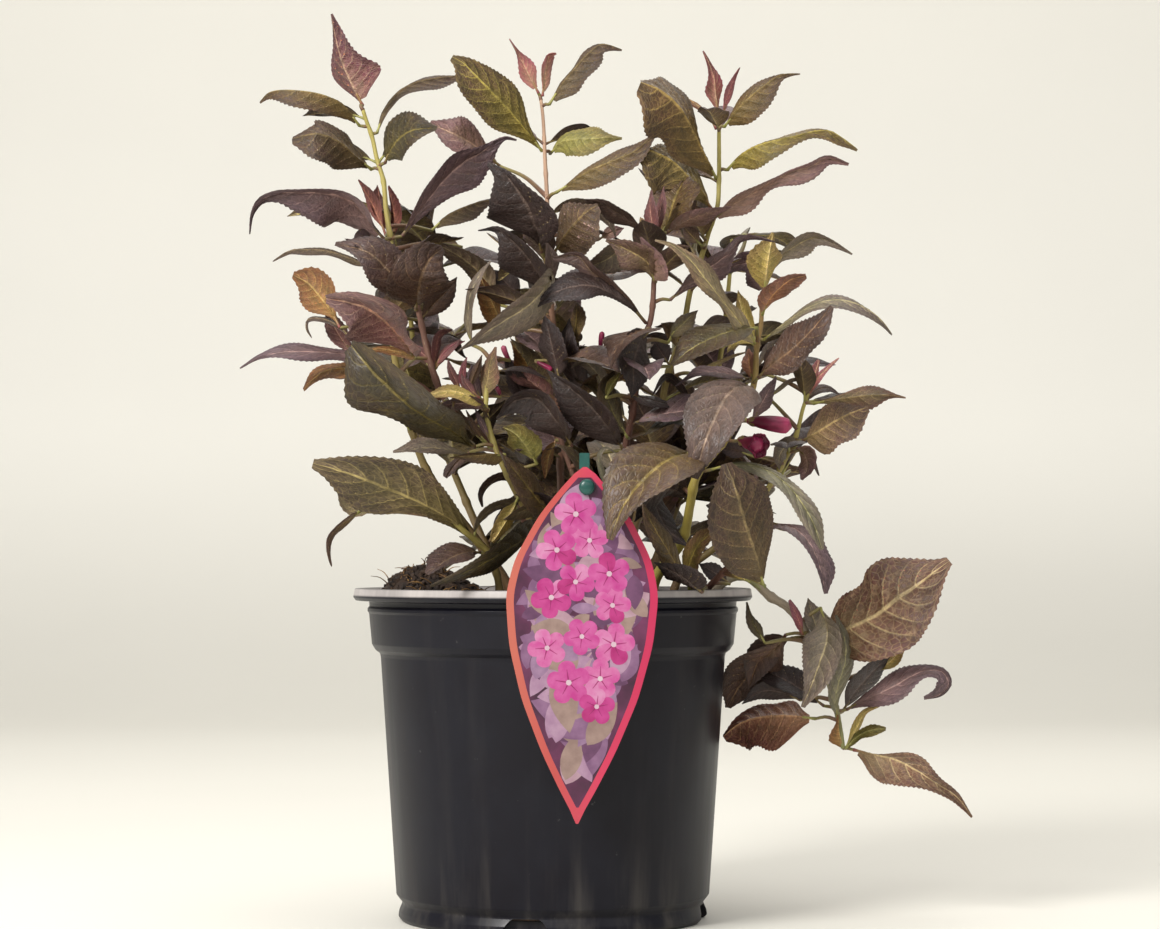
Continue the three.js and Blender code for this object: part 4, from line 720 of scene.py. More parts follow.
browno T 12.2 5.5 6.4 4 : 1.8,-48,185.9 -5.4,-57.6,196.4 -13.6,-64.1,206.8 -19.9,-66,214.5 -24,-66,219.9
black T 6.8 3.2 3.2 2 : 2.7,-45,187.8 -5,-54,197.3 -16.9,-56,200.5
[centre_low]
green T 9.9 3.2 3.6 3 : 23.9,-62,195.4 15.6,-74,210.1 7,-80,219.9 1.2,-80,222.6
greygreen T 4.2 1.4 1.4 2 : 30.4,-52,195.5 23.4,-60,208.7 21.6,-62,218.2 24.8,-62,221.4 29.3,-62,219.1
black T 10.6 6.5 5.6 3 : 3.5,-24,253.8 -0.2,-30,270.8 -3.9,-32,285.1
[centre_middle]
olivedark T 7.6 3.8 3.8 2 : 9.1,-18,270.6 11,-18,282 11.5,-14,292.3
[centre_low]
black T 9.9 5.6 5.6 3 : 16.7,-16,245.7 10.5,-20,258.7 6.3,-24,271.2 8.2,-22,284.1
black T 9 2.8/4.6/3.2/1.7 4/6.1/5.8/1.9 3 : -6.1,-10,236.5 -13.2,-12,246.9 -19.4,-10,259.3 -22.8,-8,269.9
[front_right]
olivedark T 10.6 5 5.5 4 : 63.5,-50,157.4 54.5,-60,172.1 46.1,-66,185.8 40.7,-66,197.6
yolive T 10.6 2.6/4.8/3.4/5.9 3.5/4.2/4.1/2.3 4 : 62.9,-54,155.6 63,-66,169.4 67.3,-72,178 76.7,-74,184.3
black T 10.6 5 5 3 : 68.4,-66,155.7 58.9,-78,162.7 46.2,-82,169.4
black T 9.9 5.5 5.5 2 : 50,-40,212 47.6,-46,197.9 53.4,-50,184.1 63.5,-52,175.8
[left_upper]
brown U 8.7 1.3/0.4/0.8/2.1 6/7.2/8.4/1.2 3 : -58.4,5,328.2 -51.5,10.2,335.3 -42.9,14.3,340.2 -34.2,15.1,343 -24.3,16,344.5
[centre_upper]
black T 6.3 5.8 5.8 2 : -15,6,294.9 -21.7,6,302.1 -28.4,6,309.3
[left_upper]
darkbrown T 6.3 4.3 5.7 2 : -63.8,4,285.1 -58.1,4,291.8 -51.4,4,298.6 -46.1,4,305.8
[left_outer]
redbig T 5.3 4.3 4.8 2 : -95.3,2,268.7 -100.6,2,274.9 -104.9,2,282.1 -108.3,2,291.7
[left_low]
olivebig U 4.6 4.2 3.7 2 : -81.5,-30,196.8 -88,-30,194.5 -94.6,-30,195.9 -100.7,-30,202
[hanging_lower]
darkbrown T 7.9 7.2 7.2 2 : 114.4,6,132.8 106.7,6,130.4 99.1,6,123.2 93.3,6,107.9
black T 4.8 4.3 4.3 2 : 118.5,10,102.9 108.9,10,106.8 99.3,10,106.8 90.6,10,101
[hanging_upper]
grey T 6.3 4.3 5.7 2 : 128.3,0,131 125.4,0,138.6 123.1,0,145.3 121.6,0,152
[right_inner]
black T 5.2 4.7 4.7 2 : 55.3,-20,261.5 51.1,-20,268.1 46.8,-20,274.8
[centre_middle]
dark T 6.8 5.7 6.2 2 : 47,-12,230.7 42.3,-12,240.2 36.6,-12,250.6
[right_middle]
shade T 4.1 3.8 3.8 2 : 93.9,-20,219.1 85.9,-20,221.9 76.9,-20,223.8
[front_right]
black T 4.6 3.7 4.2 2 : 82.4,-40,159.1 75.5,-40,164.2 68.1,-40,168.4
[right_inner]
brownpink T 3.2 2.9 2.9 2 : 21.5,4,323.6 27.3,4,326.9 34,4,329.3
brown T 3.7 3.4 3.4 2 : 71.4,4,320.7 66.7,4,325.5 62.3,4,330.3
[far_right]
darkbrown T 4.2 3.8 3.8 2 : 101.6,4,259.2 104.9,4,266.9 110.2,4,274.1
[left_upper]
dark T 2.6 2.4 2.4 2 : -43.6,2,320 -51.8,2,323.4 -60.4,2,325.3
[left_inner]
red T 1.4 1 1.3 1 : -55.8,-31,259 -57.6,-33,267.3 -59.5,-33,274.8 -60.4,-33,278
crimson T 1.5 1.1 1.4 1 : -54.3,-33,259.8 -49.6,-34,266.3 -45,-33,270.6 -40.9,-31,272.6
shadered U 1.4 1.1 1.1 1 : -56.9,-28,260.1 -62.1,-27,264.9 -66.4,-26,267.8
[inner]
red T 2 1.6 1.9 2 : -42,-38,247.9 -45.2,-40,253.8 -47.5,-41,259.3 -48.4,-41,263.5
crimson T 1.8 1.4 1.6 2 : -41,-40,247.7 -41.8,-42,253.7 -41.3,-43,259.2 -39.5,-43,264.3
shadered U 2.1 1.9 1.9 2 : -39.2,-38,247.9 -36.8,-40,254.7 -34.5,-41,260.2 -32.6,-41,265.4
purple T 3.3 2.6 2.8 2 : -32.8,-34,244.3 -35.6,-35,250.3 -37.5,-35,256.4 -37.5,-35,261.5
red T 2.3 1.8 2.1 2 : -33.9,-42,245.3 -37.6,-44,248.9 -40.3,-45,252.6 -42.2,-45,256.3
pinkgrey T 1.1 0.9 1 1 : -44.9,-58,242.7 -45.3,-59,239.4 -45.7,-59,235.3
purple T 2.1 1.4 2.1 1 : -49.7,-52,243 -52.4,-54,240.1 -51.4,-55,236.4 -46.9,-54,232.7
brown U 1.4 1.2 1.3 6 : -28.9,-40,222.2 -36.6,-44,229.9 -40.7,-46,234.9 -44.4,-46,241.4
shadered U 1.4 1.2 1.3 6 : -28,-40,222.2 -32.9,-46,227.5 -36.5,-49,233 -39.7,-50,239.4
purple T 1.5 1.3 1.4 6 : -27.5,-40,222.2 -30.2,-44,228.5 -32.9,-46,234 -35.7,-46,240.5
brown U 1.3 1.1 1.2 6 : -26.6,-38,222.3 -28.4,-40,229.6 -30.2,-42,235.1 -32.1,-42,241.1
dark T 2.8 2.3 2.3 3 : -38.4,-34,235.5 -43.9,-36,238.2 -49,-37,240 -54.1,-37,239.5
shade T 3.3 2.8 2.8 3 : -31.2,-26,232.1 -38.7,-27,233.9 -45.2,-28,234.3 -51.7,-28,232.4
dark T 3.3 2.8 2.3 3 : -31.3,-24,239.7 -36.9,-25,243.4 -42.5,-26,245.2 -49,-26,244.3
"""
shells = {f: Shell() for f in FAMILIES}
regions = {f: set() for f in FAMILIES}
stalks, twigs = Shell(), Shell()
cover = np.zeros((250, 310), bool)            # what the front of the crown covers, in 4-pixel squares
def project(v):
    d = v[:, 1] + 1432.0
    return 580 + 3000 * (v[:, 0] - 12.9) / d, 551 - 3000 * (v[:, 2] - 174.4) / d
def front_view(v):
    k = 1432 / (v[..., 1] + 1432)
    return 12.9 + (v[..., 0] - 12.9) * k, 174.4 + (v[..., 2] - 174.4) * k
def squares(v):
    x, y = project(v)
    return np.clip((y / 4).astype(int) + 4, 0, 249), np.clip((x / 4).astype(int), 0, 309)

def put_leaf(points, width, normal, petiole, tint, seed, region, grade='fine', test=None, **kw):
    verts, faces, uvt, uvb, stalk, P, N = leaf_solid(points, width, normal, petiole, seed, grade, **kw)
    if test is not None and not test(verts): return False
    fam, col = FAMILY[tint]
    uv = np.concatenate([uvt, uvb]); uv = uv.copy()
    uv[..., 0] = (uv[..., 0] + col) / 4
    shells[fam].add(verts, faces, uv)
    regions[fam].add('mass_' + region)
    if grade == 'fine':
        i, j = squares(verts); cover[i, j] = True
    if len(stalk) > 2:
        q = stalk[:: max(1, len(stalk) // 10)]
        if np.linalg.norm(q[-1] - stalk[-1]) > 0.2: q = np.vstack([q, stalk[-1:]])
        q = np.vstack([q, P[1:4]])
        c = {'dark': 1, 'purple': 1, 'red': 2, 'tan': 2}.get(fam, 0)
        rr = np.linspace(0.95, 0.6, len(q)) * (0.7 + 0.3 * min(1.0, width / 30))
        add_tube(stalks, q, rr, 8, u_range=(0.02 + c / 3, 0.31 + c / 3))
    return True

region = None
bases = []
for n_, row in enumerate(SEEN.strip().splitlines()):
    row = row.strip()
    if row.startswith('['):
        region = row[1:-1]; continue
    head, pts = row.split(' : ')
    tint, shows, w, left, right, pet, *more = head.split()
    w, pet, peak = float(w), float(pet), float(more[0]) if more else 0.44
    left, right = [float(c) for c in left.split('/')], [float(c) for c in right.split('/')]
    sides = None
    if len(left) > 1: sides = [np.array(q) / max(q) for q in ((left, right) if shows == 'T' else (right, left))]
    left, right = max(left), max(right)
    pts = np.array([[float(c) for c in q.split(',')] for q in pts.split()])
    path, L = smooth_path(pts, 101)
    k0 = min(0.6, pet / L); c = int(100 * (k0 + 0.42 * (1 - k0)))
    normal, keel = blade_frame(unit(path[c + 3] - path[c - 3]), left, right, w, shows == 'T')
    put_leaf(pts, 2 * w, normal, pet, tint, 100 + n_, region, keel=keel, turn=4, curl=0.5, look=(left, right, w, shows == 'T'), peak=peak, sides=sides)
    bases.append((pts[0], region))

# short side twigs from the nearest limb to each leaf stalk that does not sit on one
# open places inside the crown: x z radius (mm), seen from the front
OPEN = np.array([[float(c) for c in q.split(',')] for q in '''-43,204,8 108,345,6 -109,325,5 -48,290,5 -41,198,5 -46,295,5 -23,204,5 -97,348,4 -34,212,4 -71,191,4 -65,191,4 -32,375,4 -103,252,4 84,302,4 -58,217,4 -34,184,4 -105,393,3 -38,380,3 -35,377,3 42,374,3 -94,346,3 -56,335,3 -87,299,3 107,243,3 -43,211,3 -41,193,3 64,261,3 25,378,3 -6,357,3 -97,355,3 112,349,3 -96,329,3 4,309,3 53,304,3 113,251,3 59,228,3 -110,220,3 -68,193,3 -62,383,2 82,360,2 -13,359,7 126,302,6 -59,182,6 -19,363,6 -63,175,5 -103,309,5 111,246,5 74,290,5 135,257,5 -70,345,5 42,297,5 20,291,5 -120,261,5 122,298,4 119,296,4 -39,345,4 115,293,4 -52,287,4 -42,343,4 53,298,4 138,254,4 -36,347,3'''.split()])
def in_open(points, grow=0.0):
    x, z = front_view(points)
    return (np.hypot(x[..., None] - OPEN[:, 0], z[..., None] - OPEN[:, 1]) < OPEN[:, 2] + grow).any(-1)
def twig_to(base, seed, r_tip=0.75):
    r = np.random.default_rng(seed)
    d = limb_points - base
    dist = np.linalg.norm(d, axis=1) + np.maximum(0, d[:, 2]) * 0.9      # prefer a limb point lower down
    near_ones = np.argsort(dist)[:400]; near_ones = near_ones[dist[near_ones] < dist.min() + 26]
    s = np.linspace(0, 1, 12)[:, None]              # a twig goes round an open place
    cost = [dist[q] + 30 * in_open(limb_points[q] * (1 - s) + base * s).mean() for q in near_ones]
    root = limb_points[near_ones[int(np.argmin(cost))]]
    gap = np.linalg.norm(root - base)
    if gap < 2.2: return
    mid = (root + base) / 2 + np.array([r.uniform(-1, 1), r.uniform(-1, 1), 0.05 * gap + r.uniform(-1, 1)])
    path, L = smooth_path([root, mid, base], max(6, int(gap / 2.5)))
    add_tube(twigs, path, np.linspace(1.25 if gap > 12 else 1.0, r_tip, len(path)), 8, u_range=(0.02, 0.98))
done = []
for i, (b, reg) in enumerate(bases):
    if any(np.linalg.norm(b - q) < 3.0 for q in done): continue
    done.append(b); twig_to(b, 900 + i)

# the front silhouette, slightly grown: leaves added by rule must stay behind it so that the open places stay open
grown = cover.copy()
for di in (-1, 0, 1):
    for dj in (-1, 0, 1):
        grown |= np.roll(np.roll(cover, di, 0), dj, 1)
for i in range(grown.shape[0]):                     # the label hides what stands behind it
    y = (i - 4) * 4 + 2
    if 452 < y < 640:
        half = np.interp(y, [450, 475, 500, 525, 550, 600], [4, 24, 39, 49, 56, 62])
        grown[i, int((583 - half) / 4) + 1:int((583 + half) / 4)] = True
def hidden(share):
    def test(verts):
        i, j = squares(verts)
        lo, hi = np.array(cad_box[0]) * 1000 - 4, np.array(cad_box[1]) * 1000 + 4
        inside = ((verts > lo) & (verts < hi)).all()
        x, y = verts[:, 0], verts[:, 1]
        in_pot = (np.hypot(x, y) < 97) & (verts[:, 2] < 160)
        return bool(inside and not in_pot.any() and (~grown[i, j]).mean() < share and in_open(verts).mean() < 0.02)
    return test

# seeded branching rule: opposite pairs, each pair turned a quarter from the last, smaller towards the tip
def grow_shoot(path, region, seed, first=0.35, step=21.0, size=64.0, outward=(0, 1, 0), share=0.05, tints=('shade', 'shadeolive', 'grey', 'shadered', 'dark', 'darkolive', 'purple'), sides=1):
    r = np.random.default_rng(seed)
    P, L = smooth_path(path, 60)
    T = unit(np.gradient(P, axis=0))
    out = unit(np.array(outward, float))
    spray = tints[int(r.integers(len(tints)))]
    at, k = L * first, 0
    while at < L + 0.1:
        i = min(59, int(at / L * 59)); p, t = P[i], T[i]
        a = unit(np.cross(t, out)); b = np.cross(a, t)
        turn = (0 if k % 2 else math.pi / 2) + r.uniform(-0.35, 0.35)
        for sgn in (1, -1):
            for tries in range(7):
                tw = turn + r.uniform(-0.5, 0.5) * (1 + 0.5 * tries)
                side = unit(a * math.cos(tw) * sgn + b * math.sin(tw) * sgn + out * 0.15)
                lift = r.uniform(0.25, 0.75)
                l = size * (1.0 - 0.35 * (at / L - first) / max(0.2, 1 - first)) * r.uniform(0.82, 1.08)
                d0 = unit(side + t * lift + np.array([0, 0, 0.25]))
                sag = r.uniform(0.15, 0.42)
                pts = [p]
                for q in (0.14, 0.4, 0.7, 1.0):
                    pts.append(p + d0 * l * q + np.array([0, 0, -1.0]) * l * sag * q ** 2 + side * l * 0.10 * q ** 2)
                pts = np.array(pts)
                tm = unit(pts[3] - pts[2])
                nrm = unit(np.array([0, 0, 1.0]) - tm * tm[2]) + 0.25 * r.standard_normal(3)
                tint = spray if r.random() < 0.7 else tints[int(r.integers(len(tints)))]
                if put_leaf(pts, l * r.uniform(0.44, 0.52), unit(nrm), l * 0.11, tint, int(r.integers(1 << 30)), region, 'plain', hidden(share), keel=r.uniform(0.15, 0.5)):
                    break
        at += step * r.uniform(0.85, 1.15); k += 1

def side_shoot(start, direction, length, region, seed, **kw):
    r = np.random.default_rng(seed)
    d = unit(np.array(direction, float)); s = np.array(start, float)
    pts = [s + d * length * q + np.array([0, 0, 1]) * length * 0.18 * q ** 2 + r.uniform(-1, 1, 3) * 2 * q for q in (0, 0.35, 0.7, 1.0)]
    P, L = smooth_path(pts, max(8, int(length / 3)))
    i, j = squares(P); seen = ~grown[i, j] | in_open(P)
    if seen.any():                                  # a bare twig must not show in an open place
        m = int(np.argmax(seen)) - 1
        if m < 4: return
        P = P[:m + 1]; pts = [P[0], P[m // 3], P[2 * m // 3], P[m]]
    add_tube(twigs, P, np.linspace(1.5, 0.8, len(P)), 8, u_range=(0.02, 0.98))
    grow_shoot(pts, region, seed + 1, first=0.35, step=17.0, **kw)

def near(name, z):
    P = limb_path[name]; return P[int(np.argmin(abs(P[:, 2] - z)))]
grow_shoot(limb_path['back_left'], 'back_left', 11, first=0.22, outward=(-0.5, 1, 0))
grow_shoot(limb_path['back'], 'back_middle', 12, first=0.2, outward=(0, 1, 0))
grow_shoot(limb_path['back_right'], 'back_right', 13, first=0.22, outward=(0.5, 1, 0))
for i, (nm, z, d, ln, reg) in enumerate([
        ('back_left', 205, (-0.8, 0.7, 0.2), 52, 'back_left'), ('back_left', 250, (-0.5, 1, 0.1), 46, 'back_left'), ('back_left', 262, (0.6, 0.7, 0.5), 44, 'back_left'),
        ('back_left', 300, (0.3, 0.8, 0.4), 34, 'back_high_left'), ('back_left', 318, (-0.3, 0.5, 0.5), 24, 'back_high_left'),
        ('back', 185, (-0.7, 0.8, 0.2), 46, 'back_low'), ('back', 190, (0.7, 0.8, 0.2), 46, 'back_low'), ('back', 205, (0, 1, 0.1), 40, 'back_low'),
        ('back', 235, (-0.5, 0.9, 0.4), 44, 'back_middle'), ('back', 250, (0.5, 0.9, 0.4), 44, 'back_middle'), ('back', 265, (0, 0.6, 0.9), 34, 'back_middle'),
        ('back_right', 205, (0.8, 0.7, 0.2), 50, 'back_right'), ('back_right', 250, (0.5, 1, 0.1), 46, 'back_right'), ('back_right', 258, (-0.5, 0.7, 0.5), 42, 'back_right'),
        ('back_right', 298, (-0.2, 0.8, 0.4), 34, 'back_high_right'), ('back_right', 315, (0.4, 0.5, 0.5), 24, 'back_high_right'),
        ('centre', 225, (-0.2, 1, 0.5), 40, 'centre_low'), ('centre', 285, (0.1, 1, 0.3), 40, 'centre_middle'), ('right_tall', 262, (0.1, 1, 0.2), 36, 'right_middle'),
        ('right_tall', 310, (0, 1, 0.4), 36, 'right_inner'), ('right_tall', 350, (0.1, 1, 0.4), 30, 'right_top'), ('left_tall', 270, (0, 1, 0.3), 40, 'left_upper'),
        ('left_tall', 325, (-0.1, 1, 0.4), 34, 'left_upper'), ('left_tall', 362, (0, 1, 0.5), 24, 'left_top'), ('centre', 352, (0.1, 1, 0.4), 30, 'centre_top'),
        ('left_tall', 225, (-0.8, 0.5, 0.2), 36, 'left_outer'), ('far_right', 205, (0.4, 1, 0.1), 34, 'right_outer'), ('far_right', 232, (0.1, 1, 0.3), 32, 'far_right')]):
    side_shoot(near(nm, z), d, ln, reg, 300 + 7 * i, outward=(d[0], d[1], 0))
# leaf pairs on the far side of the tall front stems
for nm, reg, f in (('left_tall', 'left_upper', 0.42), ('centre', 'centre_middle', 0.3), ('right_tall', 'right_inner', 0.35), ('far_right', 'far_right', 0.4), ('centre_right', 'right_middle', 0.35)):
    grow_shoot(limb_path[nm], reg, 60 + len(nm), first=f, step=26.0, size=52.0, outward=(0, 1, 0), share=0.03)

# the low skirt at the back, between the rear stems and the pot's rim
for n_, (nm, o) in enumerate((('back', (0, 1, 0)), ('back_left', (-0.4, 1, 0)), ('back_right', (0.4, 1, 0)))):
    P = limb_path[nm]; P = P[(P[:, 2] > 168) & (P[:, 2] < 226)]
    if len(P) > 4:
        grow_shoot(P[::max(1, len(P) // 6)], 'back_low', 410 + n_, first=0.08, step=9.5, size=60.0, outward=o, share=0.10)
        grow_shoot(P[::max(1, len(P) // 6)], 'back_low', 430 + n_, first=0.15, step=13.0, size=72.0, outward=o, share=0.10)
if not any('mass_back_low' in regions[f] for f in FAMILIES): raise RuntimeError('mass_back_low has no leaves')

for f in FAMILIES:
    sh = shells[f]
    ob = sh.make('leaves_' + f, [leaf_material(f)], sharp=60)
    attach(ob, "root"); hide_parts(*sorted(regions[f]))
    print('leaves', f, sh.count(), sorted(regions[f]))

def stalk_material(name, three):
    k = Nodes(name)
    uv = k.new("UVMap", uv_map="OFBake").outputs[0]
    sep = k.new("SeparateXYZ"); k.plug(uv, sep.inputs[0])
    u, v = sep.outputs[0], sep.outputs[1]
    g = k.noise(k.combine(k.math('MULTIPLY', u, 14.0), k.math('MULTIPLY', v, 6.0)), 1.0, 3.0, 0.6)
    n = len(three)
    a = k.ramp(u, [(i / n, c[0]) for i, c in enumerate(three)], 'CONSTANT'); b = k.ramp(u, [(i / n, c[1]) for i, c in enumerate(three)], 'CONSTANT')
    base = k.mix(k.smooth(k.math('ADD', v, k.math('SUBTRACT', g, 0.5)), 0.1, 0.9), a, b)
    return k.done(base, k.line(g, 0.3, 0.7, 0.42, 0.6), k.bump(g, 0.4, 0.0002))
ob = stalks.make('leaf_stalks', [stalk_material('leaf_stalk', [('#7d7a3e', '#9a9552'), ('#5b3a34', '#7d6c42'), ('#7a3a38', '#8f7048')])], sharp=75)
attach(ob, "root")

# ------------------------------------------------------------------ flower buds
# way points (mm) : largest radius, how far open (0 closed), tint column
BUDS = """
90.4,-50,234.3 95.7,-53,233.7 102.5,-55,232.7 109.4,-55,231.3 : 3.7 0 0
86.9,-46,225.7 90.2,-52,224.1 94.1,-57,223 : 4.4 1 0
-19.9,-30,263.3 -21.7,-32,266.4 -23.1,-33,270.1 : 1.3 0 1
-8.3,-22,263.8 -4.5,-24,261.8 -0.2,-25,259.4 : 1.2 0 0
-24,-34,246.2 -24.9,-35,248.5 -26.2,-36,250.8 : 1.1 0 1
22.3,-20,268.1 22.8,-22,272.7 23.3,-23,277.4 : 1.3 0 0
"""
blossom, calyx = Shell(), Shell()
for n_, row in enumerate(BUDS.strip().splitlines()):
    pts, rest = row.split(' : '); rmax, open_, col = rest.split(); rmax, open_, col = float(rmax), int(open_), int(col)
    pts = np.array([[float(c) for c in q.split(',')] for q in pts.split()])
    P, L = smooth_path(pts, 34)
    s = np.linspace(0, 1, 34)
    prof = np.interp(s, [0, 0.12, 0.3, 0.5, 0.85, 0.95, 1.0], [0.4, 0.55, 0.82, 0.96, 1.0, 0.88, 0.45])
    if open_: prof = np.interp(s, [0, 0.2, 0.6, 1.0], [0.4, 0.5, 0.75, 0.9])
    a = np.linspace(0, 2 * math.pi, 30, endpoint=False)
    fold = 0.13 * np.abs(np.cos(2.5 * (a[None] + 1.3 * s[:, None]))) * np.clip((s - 0.3) / 0.4, 0, 1)[:, None] - 0.05
    add_tube(blossom, P, prof * rmax, 30, u_range=(0.02 + 0.5 * col, 0.48 + 0.5 * col), relief=fold)
    T, N = transport(P, np.array([0.2, -1.0, 0.3]), 20); B = np.cross(T, N)
    if open_:
        for q in range(5):
            g = q * 2 * math.pi / 5 + 0.4
            o = N[-1] * math.cos(g) + B[-1] * math.sin(g)
            p0 = P[-4] + o * rmax * 0.62
            petal = np.array([p0, p0 + T[-1] * 2.0 + o * 1.4, p0 + T[-1] * 3.6 + o * 2.4, p0 + T[-1] * 4.4 + o * 2.2])
            verts, faces, uvt, uvb, *_ = leaf_solid(petal, 7.4, -T[-1] + 0.2 * o, 0.0, 700 + q, 'plain', keel=0.25, curl=1.5)
            uv = np.concatenate([uvt, uvb]); uv = uv.copy(); uv[..., 0] = 0.02 + 0.46 * uv[..., 0] + 0.5 * col
            blossom.add(verts, faces, uv)
    for q in range(5):
        g = q * 2 * math.pi / 5
        o = N[2] * math.cos(g) + B[2] * math.sin(g)
        q0 = P[0] + o * rmax * 0.25; k = 0.55 * rmax
        sep_ = np.array([q0, q0 + T[2] * k * 1.2 + o * k * 0.5, q0 + T[2] * k * 2.6 + o * k * 0.62])
        verts, faces, uvt, uvb, *_ = leaf_solid(sep_, 0.55 * rmax, o, 0.0, 760 + q, 'plain', keel=0.2)
        calyx.add(verts, faces, np.concatenate([uvt, uvb]))
    twig_to(pts[0], 860 + n_)

def petal_material(name, cols):
    k = Nodes(name)
    uv = k.new("UVMap", uv_map="OFBake").outputs[0]
    sep = k.new("SeparateXYZ"); k.plug(uv, sep.inputs[0])
    u, v = sep.outputs[0], sep.outputs[1]
    g = k.noise(k.combine(k.math('MULTIPLY', u, 26.0), k.math('MULTIPLY', v, 5.0)), 1.0, 3.0, 0.6)
    n = len(cols)
    a = k.ramp(u, [(i / n, c[0]) for i, c in enumerate(cols)], 'CONSTANT'); b = k.ramp(u, [(i / n, c[1]) for i, c in enumerate(cols)], 'CONSTANT')
    base = k.mix(k.smooth(k.math('ADD', v, k.math('MULTIPLY', k.math('SUBTRACT', g, 0.5), 0.9)), 0.35, 1.05), a, b)
    return k.done(base, k.line(g, 0.3, 0.7, 0.34, 0.5), k.bump(g, 0.5, 0.0003))
ob = blossom.make('blossom', [petal_material('petal', [('#5f0d2c', '#95264f'), ('#71203a', '#98405a')])], sharp=70)
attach(ob, "root")
ob = calyx.make('blossom_calyx', [petal_material('calyx', [('#5c3a2e', '#76663a')])], sharp=70)
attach(ob, "root")
ob = twigs.make('twigs', [stalk_material('twig', [('#6a4a38', '#7d7342')])], sharp=75)
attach(ob, "root")

# ------------------------------------------------------------------ pot
def fillet(points, steps=4):
    """Closed or open profile [r, z, corner radius] -> finer profile with rounded corners."""
    out = []
    for i, (x, z, q) in enumerate(points):
        p = np.array([x, z])
        if q <= 0 or i in (0, len(points) - 1): out.append(p); continue
        a = np.array(points[i - 1][:2]) - p; b = np.array(points[i + 1][:2]) - p
        la, lb = np.linalg.norm(a), np.linalg.norm(b)
        a, b = a / la, b / lb
        half = math.acos(max(-1, min(1, a @ b))) / 2
        cut = min(q / math.tan(half), la * 0.45, lb * 0.45)
        s0, s1 = p + a * cut, p + b * cut
        for k in range(steps + 1):
            t = k / steps
            out.append((1 - t) ** 2 * s0 + 2 * t * (1 - t) * p + t ** 2 * s1)
    return np.array(out)
POT = [(0, 0, 0), (46, 0, 1), (47.5, 3, 1), (69.0, 3, 0.8), (69.8, 0, 0.4), (71.8, 0, 0.7), (73.3, 1.9, 1.2), (72.9, 4.4, 1.4), (71.3, 8.4, 1.6), (74.3, 12.2, 1.6),
       (81.9, 124.3, 0.5), (82.3, 126.0, 0.7), (84.4, 127.6, 0.6), (86.1, 130.4, 1.2), (87.5, 144.9, 0.6), (88.2, 146.0, 0.5), (88.2, 147.3, 0.5), (87.3, 148.4, 0.6), (87.5, 150.6, 0.7),
       (93.8, 151.0, 0.8), (95.0, 152.6, 0.8), (94.3, 156.7, 0.9), (91.9, 156.7, 1.0), (86.4, 149.5, 1.5), (84.6, 131.0, 1.5), (80.4, 124.6, 1.5), (72.8, 13, 2), (70.2, 6.5, 1.5), (0, 6.5, 0)]
def lathe(profile, sides, name, mats, uvname="UVMap"):
    prof = np.asarray(profile, float); inner = prof[1:-1]; n = len(inner)
    a = np.linspace(0, 2 * math.pi, sides, endpoint=False)
    V = np.stack([inner[:, None, 0] * np.cos(a)[None], inner[:, None, 0] * np.sin(a)[None], np.broadcast_to(inner[:, None, 1], (n, sides))], -1).reshape(-1, 3)
    F = grid_faces(n, sides, close=True)
    V = np.vstack([V, [0, 0, prof[0, 1]], [0, 0, prof[-1, 1]]])
    k = np.arange(sides)
    c0 = np.stack([np.full(sides, n * sides), (k + 1) % sides, k], 1)
    c1 = np.stack([np.full(sides, n * sides + 1), (n - 1) * sides + k, (n - 1) * sides + (k + 1) % sides], 1)
    sh = Shell(); sh.add(V, F)
    sh.v.append(np.zeros((0, 3))); sh.f.append(np.vstack([c0, c1])); sh.uv.append(np.zeros((2 * sides, 3, 2))); sh.mi.append(np.zeros(2 * sides, int))
    return sh.make(name, mats, uvname=uvname, sharp=32)
def pot_material():
    k = Nodes("pot_black")
    co = k.new("TexCoord").outputs["Object"]
    sep = k.new("SeparateXYZ"); k.plug(co, sep.inputs[0])
    z = sep.outputs[2]
    n1 = k.noise(co, 28.0, 4.0, 0.6)
    n2 = k.noise(co, 190.0, 3.0, 0.6)
    flow = k.new("Mapping"); k.plug(co, flow.inputs[0]); flow.inputs["Scale"].default_value = (60.0, 60.0, 5.0)
    n3 = k.noise(flow.outputs[0], 1.0, 4.0, 0.6)
    base = k.mix(k.smooth(n1, 0.3, 0.7), '#0d0b14', '#11111a')
    low = k.smooth(z, 0.004, 0.05, 1.0, 0.0)
    dust = k.math('MULTIPLY', k.math('ADD', k.math('MULTIPLY', low, 0.4), 0.08), k.smooth(n3, 0.45, 0.75))
    base = k.mix(dust, base, '#5b5650')
    specks = k.smooth(n2, 0.70, 0.78, 0.0, 0.35)
    base = k.mix(specks, base, '#5c5a58')
    lip_highlight = k.math('MULTIPLY', k.smooth(z, 0.1529, 0.1540), k.smooth(z, 0.1561, 0.1569, 1.0, 0.25))
    base = k.mix(k.math('MULTIPLY', lip_highlight, k.line(n3, 0.3, 0.7, 0.5, 0.95)), base, '#bbb4b1')      # painted highlight: a pale band on the lip stands in for the studio light's reflection along the rim
    rough = k.math('ADD', k.line(n3, 0.3, 0.7, 0.30, 0.42), k.math('MULTIPLY', dust, 0.35))
    h = k.math('ADD', k.math('MULTIPLY', n1, 0.6), k.math('MULTIPLY', n2, 0.12))
    return k.done(base, rough, k.bump(h, 0.12, 0.0006), Specular_IOR_Level=0.22)
pot = lathe(fillet(POT), 160, 'pot_moulded', [pot_material()])
ARCH_AT, ARCH_FOOT, ARCH_TOP, ARCH_H = -99.4, 30.0, 12.0, 7.9
cut = Shell()
